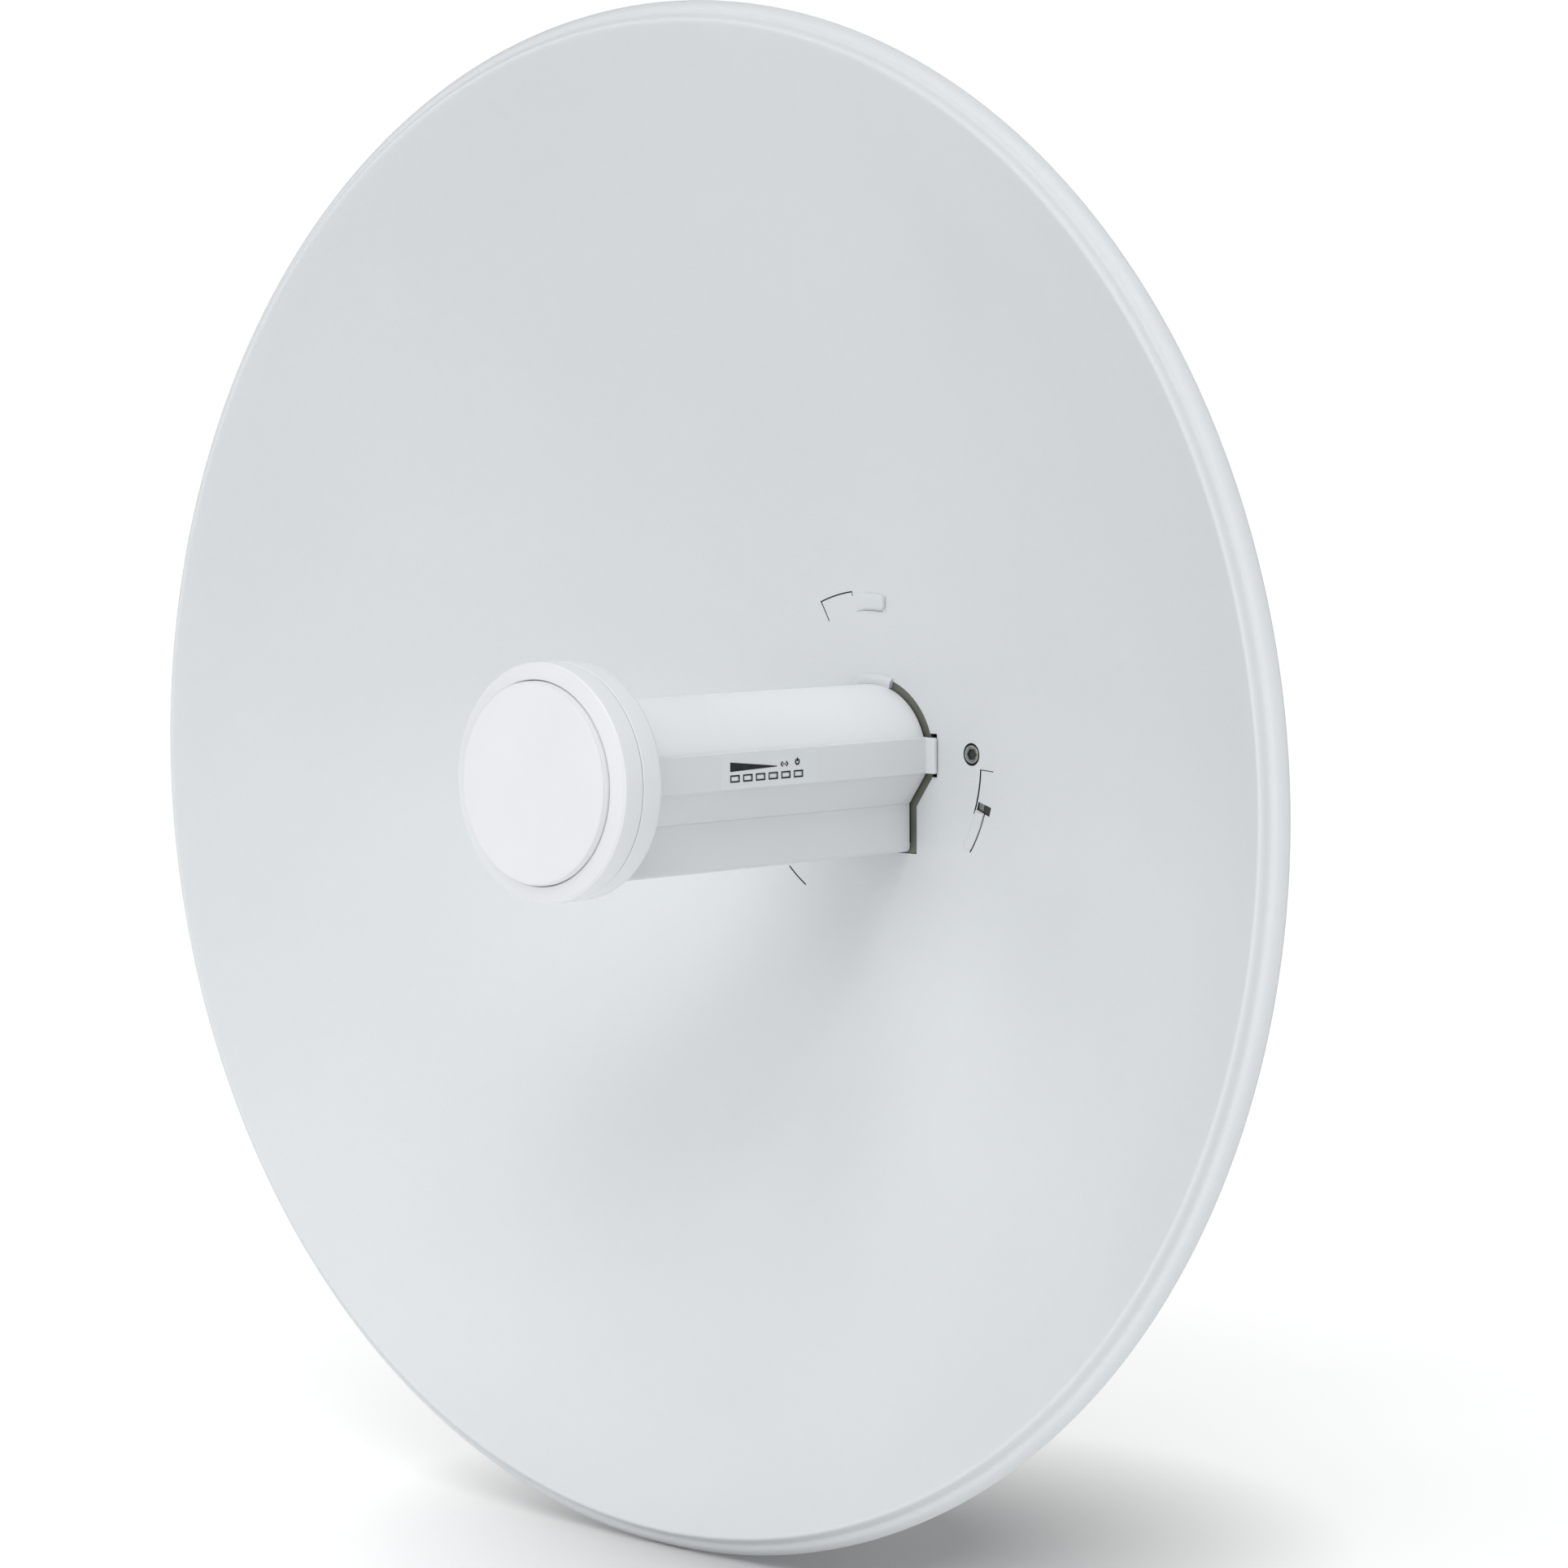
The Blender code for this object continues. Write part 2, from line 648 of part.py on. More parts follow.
def make_electronics():
    half = 0.0128
    finish(box("main_board", (-half, -0.0152, -0.1300), (half, -0.0136, 0.0300)), COPPER_BOARD, FEED)
    cans = (("radio_shield", -0.0150, 0.0190, 0.0115), ("processor_shield", -0.0560, -0.0270, 0.0105))
    for name, low, high, width in cans:
        can = box(name, (-width, -0.0133, low), (width, -0.0103, high), 0.0004)
        finish(can, TIN, FEED)
    spreader = box("heat_spreader", (-0.0120, -0.0100, -0.0620), (0.0120, -0.0070, 0.0220), 0.0005)
    finish(spreader, GALVANISED, FEED)
    transformer = box("ethernet_transformer", (-0.008, -0.0133, -0.1000), (0.008, -0.0075, -0.0850), 0.0004)
    finish(transformer, RUBBER, FEED)
    jack = box("rj45_jack", (-0.0079, -0.0302, -0.1280), (0.0079, -0.0155, -0.1120))
    mouth = box("jack_mouth_cutter", (-0.0060, -0.0320, -0.1250), (0.0060, -0.0180, -0.1175))
    boolean(jack, tool(mouth, FEED), "DIFFERENCE")
    latch = box("jack_latch_cutter", (-0.0030, -0.0320, -0.1180), (0.0030, -0.0220, -0.1150))
    boolean(jack, tool(latch, FEED), "DIFFERENCE")
    finish(jack, TIN, FEED)


def make_reset_button():
    profile = [
        (0.0, 0.0004),
        (0.0016, 0.0004),
        (0.0018, 0.0002),
        (0.0018, -TUBE_WALL - 0.0003),
        (0.0030, -TUBE_WALL - 0.0004),
        (0.0030, -TUBE_WALL - 0.0014),
        (0.0012, -TUBE_WALL - 0.0014),
        (0.0012, -0.0130),
        (0.0, -0.0130),
    ]
    finish(turned("reset_button", profile, 16), RUBBER, RESET, turn=(math.pi / 2, 0, 0))


# ---------------------------------------------------------------- tilt bracket and its bolts


def bracket_screw_places():
    """Screws between tilt bracket and housing, in the dish's x and y from the feed's axis."""
    return [(x, z - FEED_RISE) for z in (-0.024, 0.024) for x in (-0.015, 0.015)]


SIDEWAYS = (math.pi / 2, 0, math.pi / 2)


def ear(name, outline, low_x, high_x):
    """A plate across x whose outline is given in y and z."""
    return flat(name, outline, [], low_x, high_x)


def make_tilt_bracket():
    """U-shaped steel bracket: its web holds the housing, its ears straddle the pole bracket."""
    web = box(
        "tilt_bracket",
        (-TILT_EAR_X - PLATE, TILT_WEB_Y, -0.034),
        (TILT_EAR_X + PLATE, TILT_WEB_Y + PLATE, 0.034),
    )
    outline = [
        (TILT_WEB_Y + 0.0005, -0.0339),
        (-0.078, -0.0339),
        (-0.060, -0.0300),
        (-0.052, -0.0270),
        (-0.049, -0.0200),
        (-0.047, 0.0060),
        (-0.047, 0.0180),
        (-0.051, 0.0240),
        (-0.078, 0.0339),
        (TILT_WEB_Y + 0.0005, 0.0339),
    ]
    for side, name in ((-1, "left"), (1, "right")):
        middle = side * (TILT_EAR_X + PLATE / 2)
        half = PLATE / 2 - 0.00005
        shape = ear(f"tilt_ear_shape_{name}", outline, middle - half, middle + half)
        boolean(web, tool(shape, POLE_MOUNT, turn=SIDEWAYS), "UNION")
    hole = BOLT_RADIUS + BOLT_PLAY
    for name, z in (("pivot", PIVOT[2]), ("lock", PIVOT[2] - LOCK_RADIUS)):
        drill = prism(f"tilt_{name}_hole_cutter", hole, -0.040, 0.040)
        boolean(web, tool(drill, POLE_MOUNT, (0, PIVOT[1], z), (0, math.pi / 2, 0)), "DIFFERENCE")
    for index, (x, y) in enumerate(bracket_screw_places()):
        drill = prism(f"web_hole_cutter_{index + 1}", 0.0033, -0.005, 0.005, 20)
        at = (x, TILT_WEB_Y + PLATE / 2, y + FEED_RISE)
        boolean(web, tool(drill, POLE_MOUNT, at, (math.pi / 2, 0, 0)), "DIFFERENCE")
    finish(web, GALVANISED, TILT, [-value for value in PIVOT])


def make_bracket_screws():
    head_base = TILT_WEB_Y + PLATE + GAP
    for index, (x, y) in enumerate(bracket_screw_places()):
        at = (x, head_base, y + FEED_RISE)
        screw = bolt(f"bracket_screw_{index + 1}", 0.0030, 0.0050, 0.0040, 0.0110, at, (-math.pi / 2, 0, 0))
        finish_at_pivot(screw, at, (-math.pi / 2, 0, 0))


def bolt(name, radius, head_radius, head_height, length, at, turn):
    """Hexagon-headed screw: its head rises from its seat along z, its shank goes down."""
    shank = prism(name, radius, -length, 0.0005, 20)
    head = prism(f"{name}_head_shape", head_radius, 0.0, head_height, 6)
    boolean(shank, tool(head, POLE_MOUNT, at, turn), "UNION")
    return shank


def finish_at_pivot(obj, at, turn):
    finish(obj, STEEL, TILT, Vector(at) - Vector(PIVOT), turn)


def make_tilt_bolts():
    """The pivot bolt and the lock bolt, each through both pairs of ears, and their nuts."""
    seat = TILT_EAR_X + PLATE + GAP
    across_corners = NUT_ACROSS_FLATS / math.sqrt(3)
    for name, z in (("pivot", PIVOT[2]), ("lock", PIVOT[2] - LOCK_RADIUS)):
        turn = (0, math.pi / 2, 0)
        at = (seat, PIVOT[1], z)
        length = 2 * seat + 0.0085
        finish_at_pivot(bolt(f"{name}_bolt", BOLT_RADIUS, across_corners, 0.0053, length, at, turn), at, turn)
        hexagon = circle(across_corners, 6)
        nut = flat(f"{name}_nut", hexagon, [circle(BOLT_RADIUS + BOLT_PLAY, 20)], -0.0065, 0)
        finish_at_pivot(nut, (-seat, PIVOT[1], z), turn)


# ---------------------------------------------------------------- pole bracket and clamp


def toothed_saddle():
    """Saddle outline in x and y: a V with small teeth that bite the pole, open towards +Y."""
    apex = -POLE_RADIUS / math.cos(math.atan(V_SLOPE))
    half_mouth = (SADDLE_TIP_Y - apex) / V_SLOPE
    teeth, bite = 6, 0.0012
    run = []
    for index in range(teeth):
        x = half_mouth * (1 - index / teeth)
        run.append((x, apex + V_SLOPE * x))
        run.append((x - half_mouth / teeth * 0.35, apex + V_SLOPE * (x - half_mouth / teeth * 0.35) - bite))
    vee = run + [(0, apex - bite)] + [(-x, y) for x, y in run[::-1]]
    corner = 0.004
    edge = SADDLE_HALF_WIDTH - 0.001
    return [
        (-edge, POLE_WEB_Y + 0.0005),
        (edge, POLE_WEB_Y + 0.0005),
        (edge, SADDLE_TIP_Y - corner),
        (edge - corner, SADDLE_TIP_Y),
        *vee,
        (-edge + corner, SADDLE_TIP_Y),
        (-edge, SADDLE_TIP_Y - corner),
    ]


def slot_outline(width_radius):
    """The arc slot about the pivot, in y and z, that the lock bolt travels along."""
    centre = (PIVOT[1], PIVOT[2])
    limit = TILT_LIMIT + math.radians(0.7)
    down = -math.pi / 2
    outer = arc(LOCK_RADIUS + width_radius, down - limit, down + limit, 8, centre)
    inner = arc(LOCK_RADIUS - width_radius, down + limit, down - limit, 8, centre)

    def end(angle, turn):
        at = arc(LOCK_RADIUS, angle, angle, 1, centre)[0]
        return arc(width_radius, angle + turn[0], angle + turn[1], 6, at)[1:-1]

    return outer + end(down + limit, (0, math.pi)) + inner + end(down - limit, (math.pi, 2 * math.pi))


def make_pole_bracket():
    """Steel bracket: a web, two toothed saddles against the pole, two slotted ears."""
    height = 0.038
    bracket = box(
        "pole_bracket",
        (-SADDLE_HALF_WIDTH, POLE_WEB_Y, -height),
        (SADDLE_HALF_WIDTH, POLE_WEB_Y + PLATE, height),
    )
    for name, low in (("low", -0.036), ("high", 0.033)):
        saddle = flat(f"saddle_shape_{name}", toothed_saddle(), [], low, low + PLATE)
        boolean(bracket, tool(saddle, POLE_MOUNT), "UNION")
    outline = [
        (POLE_WEB_Y + 0.0010, -0.0260),
        (-0.0460, -0.0235),
        (-0.0580, -0.0245),
        (-0.0680, -0.0230),
        (-0.0760, -0.0180),
        (-0.0760, 0.0200),
        (-0.0640, 0.0300),
        (POLE_WEB_Y + 0.0010, 0.0300),
    ]
    for name, low in (("left", -POLE_EAR_X - PLATE), ("right", POLE_EAR_X)):
        shape = ear(f"pole_ear_shape_{name}", outline, low, low + PLATE)
        boolean(bracket, tool(shape, POLE_MOUNT, turn=SIDEWAYS), "UNION")
    drill = prism("pole_pivot_hole_cutter", BOLT_RADIUS + BOLT_PLAY, -0.035, 0.035)
    boolean(bracket, tool(drill, POLE_MOUNT, PIVOT, (0, math.pi / 2, 0)), "DIFFERENCE")
    slot = flat("tilt_slot_cutter", slot_outline(BOLT_RADIUS + BOLT_PLAY), [], -0.035, 0.035)
    boolean(bracket, tool(slot, POLE_MOUNT, turn=SIDEWAYS), "DIFFERENCE")
    for name, x in (("left", -CLAMP_BOLT_X), ("right", CLAMP_BOLT_X)):
        hole = prism(f"clamp_hole_cutter_{name}", BOLT_RADIUS + BOLT_PLAY, -0.006, 0.006)
        at = (x, POLE_WEB_Y + PLATE / 2, 0)
        boolean(bracket, tool(hole, POLE_MOUNT, at, (math.pi / 2, 0, 0)), "DIFFERENCE")
    finish(bracket, GALVANISED, POLE_MOUNT)


def make_clamp_jaw():
    """The loose half of the pole clamp: a channel with the same toothed V."""
    height = 0.029
    jaw = box(
        "clamp_jaw",
        (-SADDLE_HALF_WIDTH, -POLE_WEB_Y - PLATE, -height),
        (SADDLE_HALF_WIDTH, -POLE_WEB_Y, height),
    )
    outline = [(x, -y) for x, y in toothed_saddle()]
    for name, low in (("low", -0.027), ("high", 0.024)):
        saddle = flat(f"jaw_saddle_shape_{name}", outline, [], low, low + PLATE)
        boolean(jaw, tool(saddle, POLE_MOUNT), "UNION")
    for name, x in (("left", -CLAMP_BOLT_X), ("right", CLAMP_BOLT_X)):
        hole = prism(f"jaw_hole_cutter_{name}", BOLT_RADIUS + BOLT_PLAY, -0.006, 0.006)
        at = (x, -POLE_WEB_Y - PLATE / 2, 0)
        boolean(jaw, tool(hole, POLE_MOUNT, at, (math.pi / 2, 0, 0)), "DIFFERENCE")
    finish(jaw, GALVANISED, CLAMP)


def make_clamp_bolts():
    """Carriage bolts with their washers and nuts, one on each side of the pole."""
    head_seat = POLE_WEB_Y - GAP
    length = CLAMP_BOLT_END - head_seat
    bore = circle(BOLT_RADIUS + BOLT_PLAY, 20)
    nut_seat = -POLE_WEB_Y + GAP
    for name, x in (("left", -CLAMP_BOLT_X), ("right", CLAMP_BOLT_X)):
        profile = [
            (0.0, 0.0050),
            (0.0055, 0.0042),
            (0.0085, 0.0022),
            (0.0092, 0.0),
            (BOLT_RADIUS, 0.0),
            (BOLT_RADIUS, -length + 0.001),
            (BOLT_RADIUS - 0.001, -length),
            (0.0, -length),
        ]
        stud = turned(f"carriage_bolt_{name}", profile, 20)
        finish(stud, STEEL, POLE_MOUNT, (x, head_seat, 0), (math.pi / 2, 0, 0))
        washer = flat(f"clamp_washer_{name}", circle(0.0085, 24), [bore], 0, 0.0016)
        finish(washer, STEEL, CLAMP, (x, nut_seat, 0), (-math.pi / 2, 0, 0))
        nut = flat(f"clamp_nut_{name}", circle(NUT_ACROSS_FLATS / math.sqrt(3), 6), [bore], 0, 0.0065)
        finish(nut, STEEL, CLAMP, (x, nut_seat + 0.0016 + GAP, 0), (-math.pi / 2, 0, 0))


# ---------------------------------------------------------------- build

make_reflector()
make_reflector_screw()
make_rear_housing()
make_release_button()
make_port_door()
make_feed_head()
make_pigtails()
make_tube_shells()
make_shell_screws()
make_led_rail()
make_spigot()
make_electronics()
make_reset_button()
make_tilt_bracket()
make_bracket_screws()
make_tilt_bolts()
make_pole_bracket()
make_clamp_jaw()
make_clamp_bolts()
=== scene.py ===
"""Looks of the outdoor wireless bridge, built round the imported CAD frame. Metres, +Z up.

The dish looks along -Y. DISH places a shape drawn in the dish's own frame, whose z runs out of
the bowl from the rim's plane, and FEED does so on the feed's axis, a little above the dish's.
"""

import json
import math

import bmesh
import bpy
from mathutils import Matrix, Vector


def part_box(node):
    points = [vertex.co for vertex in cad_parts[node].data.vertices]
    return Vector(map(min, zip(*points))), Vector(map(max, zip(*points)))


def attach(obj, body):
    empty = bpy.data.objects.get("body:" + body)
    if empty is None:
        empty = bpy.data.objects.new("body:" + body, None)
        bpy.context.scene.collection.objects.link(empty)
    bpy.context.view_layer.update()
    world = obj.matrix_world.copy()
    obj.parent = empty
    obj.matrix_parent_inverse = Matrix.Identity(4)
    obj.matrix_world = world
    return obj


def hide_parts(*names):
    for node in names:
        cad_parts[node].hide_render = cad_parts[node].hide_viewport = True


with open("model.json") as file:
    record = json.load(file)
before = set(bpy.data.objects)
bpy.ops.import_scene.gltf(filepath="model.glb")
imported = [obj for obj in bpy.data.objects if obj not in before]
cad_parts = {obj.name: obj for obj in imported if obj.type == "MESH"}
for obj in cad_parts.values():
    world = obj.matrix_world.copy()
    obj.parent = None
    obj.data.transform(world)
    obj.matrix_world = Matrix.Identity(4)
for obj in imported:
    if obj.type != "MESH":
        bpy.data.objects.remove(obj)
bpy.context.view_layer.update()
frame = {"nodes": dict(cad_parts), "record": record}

# ------------------------------------------------------------------ measures, from the CAD

CAP_LOW, CAP_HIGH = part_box("feed_cap")
DISH_LOW, DISH_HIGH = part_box("reflector")
RIM_RADIUS = DISH_HIGH.x
LIP_FRONT = 0.0054  # the lip's crest, in front of the rim's plane
RIM_Y = DISH_LOW.y + LIP_FRONT
FEED_RISE = (CAP_LOW.z + CAP_HIGH.z) / 2

# The bowl, from its flat hub to its edge. The lip's curve starts LIP_MARGIN inside that edge.
BOWL_DEPTH, LIP_HEIGHT = 0.106, 0.0053
HUB_RADIUS, BOWL_EDGE, BOWL_POWER = 0.032, 0.2532, 1.8
LIP_MARGIN = 0.0030
SHEET = 0.0010
SCREW_AT, SCREW_SEAT = (0.0464, 0.0026), -0.1056

# The feed's head: front to back, then the radii of its cap, its ring and its inside.
HEAD_FRONT, CAP_BACK, SEAM_FRONT, SEAM_BACK, HEAD_BACK = 0.0608, 0.0556, 0.0487, 0.0484, 0.0385
CAP_RADIUS, RING_BORE, HEAD_RADIUS, HEAD_BORE = 0.0336, 0.0339, 0.0396, 0.0374

# The feed's tube: a round back on a keel, with a crease between them, and its dark collar.
TUBE_RADIUS, TUBE_WALL = 0.0255, 0.0020
TUBE_FRONT, TUBE_END = 0.0382, -0.1052
KEEL_HALF, KEEL_BOTTOM, KEEL_CORNER, CREASE = 0.0176, -0.0329, 0.0015, -0.0159
SHOULDER = (0.0249, -0.0056)
FEED_GAP = 0.0027
COLLAR_BACK, COLLAR_FRONT, COLLAR_WALL = -0.1074, -0.1064, 0.0006

# The flat strip on the tube. A window is smaller than its printed frame by LED_INSET all round.
RAIL_LOW, RAIL_HIGH, RAIL_FACE, LIP_REACH = -0.0050, 0.0078, 0.0263, 0.0303
RAIL_INSIDE, RAIL_LIP_BACK, RAIL_LIP_FRONT = 0.0236, -0.1055, -0.1039
LED_COUNT, LED_FIRST, LED_PITCH, LED_HEIGHT = 6, -0.0077, 0.0062, -0.0011
LED_SIZE, LED_INSET = (0.0046, 0.0025), 0.0004

# The label: its ends behind the rim's plane, its film's and its ink's height over the strip.
LABEL_START, LABEL_END, LABEL_MARGIN = 0.0010, 0.0479, 0.0005
FILM, INK_LOW, INK_HIGH = 0.00010, 0.00012, 0.00016
WEDGE = ((0.0054, 0.0013), (0.0281, 0.0019), (0.0281, 0.0022), (0.0054, 0.0045))
FRAME_LINE, LINK_LINE, POWER_LINE = 0.00052, 0.00062, 0.0006
LINK_AT, POWER_AT = (0.0318, 0.0026), (0.0382, 0.0030)

DISH = Matrix(((1, 0, 0, 0), (0, 0, -1, RIM_Y), (0, 1, 0, 0), (0, 0, 0, 1)))
FEED = DISH @ Matrix.Translation((0, FEED_RISE, 0))


# ------------------------------------------------------------------ materials


class Look:
    """A material whose nodes are added one by one, in the row's own coordinates."""

    def __init__(self, name, **constants):
        self.material = bpy.data.materials.new(name)
        self.material.use_nodes = True
        self.tree = self.material.node_tree
        self.shader = self.tree.nodes["Principled BSDF"]
        for socket, value in constants.items():
            self.shader.inputs[socket.replace("_", " ")].default_value = value
        self.where = self.node("ShaderNodeTexCoord").outputs["Object"]

    def node(self, kind, inputs=(), **settings):
        """Adds a node. An input is either a number to set or a socket to link."""
        made = self.tree.nodes.new(kind)
        for key, value in settings.items():
            setattr(made, key, value)
        for key, value in dict(inputs).items():
            if isinstance(value, bpy.types.NodeSocket):
                self.tree.links.new(value, made.inputs[key])
            else:
                made.inputs[key].default_value = value
        return made

    def stretched(self, scale):
        return self.node("ShaderNodeMapping", {"Vector": self.where, "Scale": scale}).outputs[0]

    def noise(self, scale, detail=2.0, where=None):
        inputs = {"Vector": where or self.where, "Scale": scale, "Detail": detail}
        return self.node("ShaderNodeTexNoise", inputs).outputs["Fac"]

    def cells(self, scale, output="Color"):
        inputs = {"Vector": self.where, "Scale": scale}
        return self.node("ShaderNodeTexVoronoi", inputs).outputs[output]

    def span(self, value, low, high, start=0.3, end=0.7):
        """Stretches a value's range from start to end over low to high."""
        inputs = {"Value": value, "From Min": start, "From Max": end, "To Min": low, "To Max": high}
        return self.node("ShaderNodeMapRange", inputs).outputs[0]

    def ramp(self, value, dark, light, start=0.3, end=0.7):
        made = self.node("ShaderNodeValToRGB", {"Fac": value})
        stops = made.color_ramp.elements
        for stop, position, colour in zip(stops, (start, end), (dark, light)):
            stop.position = position
            stop.color = (*colour, 1.0)
        return made.outputs["Color"]

    def bump(self, height, depth):
        inputs = {"Height": height, "Distance": depth, "Strength": 1.0}
        return self.node("ShaderNodeBump", inputs).outputs["Normal"]

    def math(self, operation, *values):
        inputs = dict(enumerate(values))
        return self.node("ShaderNodeMath", inputs, operation=operation).outputs[0]

    def set(self, **links):
        """Links sockets to the shader's inputs and gives the finished material."""
        for socket, value in links.items():
            self.tree.links.new(value, self.shader.inputs[socket.replace("_", " ")])
        return self.material


def coated(name, dark, light, rough, patch, grain, depth, **constants):
    """Paint or moulded plastic: faint patches of colour and a fine grain."""
    look = Look(name, **constants)
    fine = look.noise(grain)
    return look.set(
        Base_Color=look.ramp(look.noise(patch, 4.0), dark, light),
        Roughness=look.span(fine, *rough),
        Normal=look.bump(fine, depth),
    )


def brushed(name, dark, light, rough, stretch, depth, **constants):
    """Bare metal with fine streaks, drawn out where the stretch is small, and cloudy patches."""
    look = Look(name, Metallic=1.0, **constants)
    lines = look.noise(1.0, 3.0, look.stretched(stretch))
    clouds = look.noise(60.0, 3.0)
    return look.set(
        Base_Color=look.ramp(look.math("MULTIPLY", lines, clouds), dark, light, 0.12, 0.40),
        Roughness=look.span(lines, *rough),
        Normal=look.bump(lines, depth),
    )


def galvanised():
    """Hot-dipped zinc: crystals of uneven brightness under a dusty bloom."""
    look = Look("galvanised_steel", Metallic=1.0)
    spangle = look.cells(210.0)
    tone = look.node("ShaderNodeSeparateColor", {"Color": spangle}).outputs[0]
    fine = look.noise(900.0, 3.0)
    dust = look.noise(30.0, 4.0)
    mixed = look.math("MULTIPLY_ADD", tone, 0.3, dust)
    return look.set(
        Base_Color=look.ramp(mixed, (0.50, 0.51, 0.53), (0.66, 0.67, 0.68), 0.40, 0.90),
        Roughness=look.span(mixed, 0.52, 0.36, 0.3, 1.0),
        Normal=look.bump(fine, 0.00004),
    )


def circuit():
    """Green board with raised traces and round pads."""
    look = Look("circuit_board", Specular_IOR_Level=0.5)
    grid = {"Vector": look.where, "Scale": 420.0, "Mortar Size": 0.018, "Mortar Smooth": 0.1}
    grid |= {"Brick Width": 0.9, "Row Height": 0.35}
    traces = look.node("ShaderNodeTexBrick", grid).outputs["Fac"]
    pads = look.span(look.cells(600.0, "Distance"), 1.0, 0.0, 0.10, 0.14)
    raised = look.math("MAXIMUM", traces, pads)
    return look.set(
        Base_Color=look.ramp(raised, (0.012, 0.09, 0.035), (0.05, 0.22, 0.09), 0.1, 0.9),
        Roughness=look.span(raised, 0.35, 0.5, 0.0, 1.0),
        Normal=look.bump(raised, 0.00005),
    )


POWDER = coated(
    "powder_coat", (0.606, 0.630, 0.645), (0.626, 0.650, 0.665),
    rough=(0.42, 0.52), patch=9.0, grain=900.0, depth=0.00010, Specular_IOR_Level=0.35,
)
SHELL = coated(
    "radome_plastic", (0.780, 0.795, 0.81), (0.800, 0.815, 0.83),
    rough=(0.34, 0.42), patch=24.0, grain=1600.0, depth=0.00003, Specular_IOR_Level=0.4,
)
# A darker copy of the radome plastic for faces turned to the front: painted shade.
SHELL_FRONT_SHADE = coated(
    "radome_plastic_front_shade", (0.665, 0.68, 0.695), (0.685, 0.70, 0.715),
    rough=(0.40, 0.48), patch=24.0, grain=1600.0, depth=0.00003, Specular_IOR_Level=0.4,
)
# A darker copy of the radome plastic for the keel, the strip and the tube below the strip: painted
# shade on the sides turned from the light.
SHELL_LOWER_SHADE = coated(
    "radome_plastic_lower_shade", (0.690, 0.705, 0.72), (0.710, 0.725, 0.74),
    rough=(0.36, 0.44), patch=24.0, grain=1600.0, depth=0.00003, Specular_IOR_Level=0.4,
)
HOUSING = coated(
    "housing_plastic", (0.78, 0.79, 0.80), (0.82, 0.83, 0.84),
    rough=(0.42, 0.54), patch=18.0, grain=1100.0, depth=0.00008,
)
LABEL = coated(
    "label_film", (0.700, 0.722, 0.737), (0.720, 0.742, 0.757),
    rough=(0.28, 0.36), patch=60.0, grain=2200.0, depth=0.00001,
)
INK = coated(
    "label_ink", (0.012, 0.015, 0.016), (0.022, 0.025, 0.027),
    rough=(0.50, 0.60), patch=400.0, grain=3000.0, depth=0.00001, Specular_IOR_Level=0.2,
)
# Dark olive plastic of the spigot. On the collar in the keyhole's gap, its dark tone also paints
# the gap's shade.
OLIVE_GAP_SHADE = coated(
    "spigot_plastic_gap_shade", (0.100, 0.112, 0.088), (0.135, 0.148, 0.118),
    rough=(0.40, 0.55), patch=90.0, grain=1500.0, depth=0.00005,
)
RUBBER = coated(
    "seal_rubber", (0.018, 0.018, 0.019), (0.035, 0.035, 0.036),
    rough=(0.65, 0.80), patch=120.0, grain=1500.0, depth=0.00006,
)
BUTTON = coated(
    "button_plastic", (0.045, 0.048, 0.050), (0.07, 0.073, 0.075),
    rough=(0.45, 0.6), patch=90.0, grain=1600.0, depth=0.00005,
)
# Near-black for the cut faces of the keyhole, the notch, the seat and the slits: painted shade in
# these gaps and grooves.
SLIT_SHADE = coated(
    "painted_slit_shade", (0.022, 0.024, 0.022), (0.040, 0.042, 0.040),
    rough=(0.5, 0.6), patch=300.0, grain=1800.0, depth=0.00003,
)
STEEL = brushed(
    "bolt_steel", (0.40, 0.41, 0.42), (0.66, 0.67, 0.68),
    rough=(0.26, 0.42), stretch=(1500, 1500, 200), depth=0.00002,
)
STAINLESS = brushed(
    "stainless_steel", (0.27, 0.27, 0.255), (0.42, 0.42, 0.395),
    rough=(0.26, 0.36), stretch=(900, 900, 900), depth=0.00002,
)
TIN = brushed(
    "sheet_aluminium", (0.58, 0.58, 0.57), (0.80, 0.80, 0.79),
    rough=(0.24, 0.38), stretch=(300, 60, 300), depth=0.00001,
)
GALVANISED = galvanised()
BOARD = circuit()


def light_pipe():
    """Milky clear plastic."""
    look = Look("light_pipe", IOR=1.49, Transmission_Weight=0.05)
    fine = look.noise(1500.0)
    return look.set(
        Base_Color=look.ramp(look.noise(300.0), (0.80, 0.82, 0.83), (0.86, 0.88, 0.89)),
        Roughness=look.span(fine, 0.18, 0.30),
        Normal=look.bump(fine, 0.00001),
    )


CLEAR = light_pipe()


# ------------------------------------------------------------------ shapes


SHARP = 32.0


def piece(name, verts, faces, where=Matrix(), sharp=SHARP):
    """A mesh object in the row frame, smooth up to an angle, with its normals outwards."""
    mesh = bpy.data.meshes.new(name)
    mesh.from_pydata(verts, [], faces)
    bm = bmesh.new()
    bm.from_mesh(mesh)
    bmesh.ops.remove_doubles(bm, verts=bm.verts, dist=1e-8)
    bmesh.ops.recalc_face_normals(bm, faces=bm.faces)
    bm.to_mesh(mesh)
    bm.free()
    mesh.transform(where)
    smooth(mesh, sharp)
    made = bpy.data.objects.new(name, mesh)
    bpy.context.scene.collection.objects.link(made)
    return made


def smooth(mesh, sharp=SHARP):
    """Shades the mesh smooth, except at edges over this angle in degrees."""
    mesh.shade_smooth()
    mesh.set_sharp_from_angle(angle=math.radians(sharp))


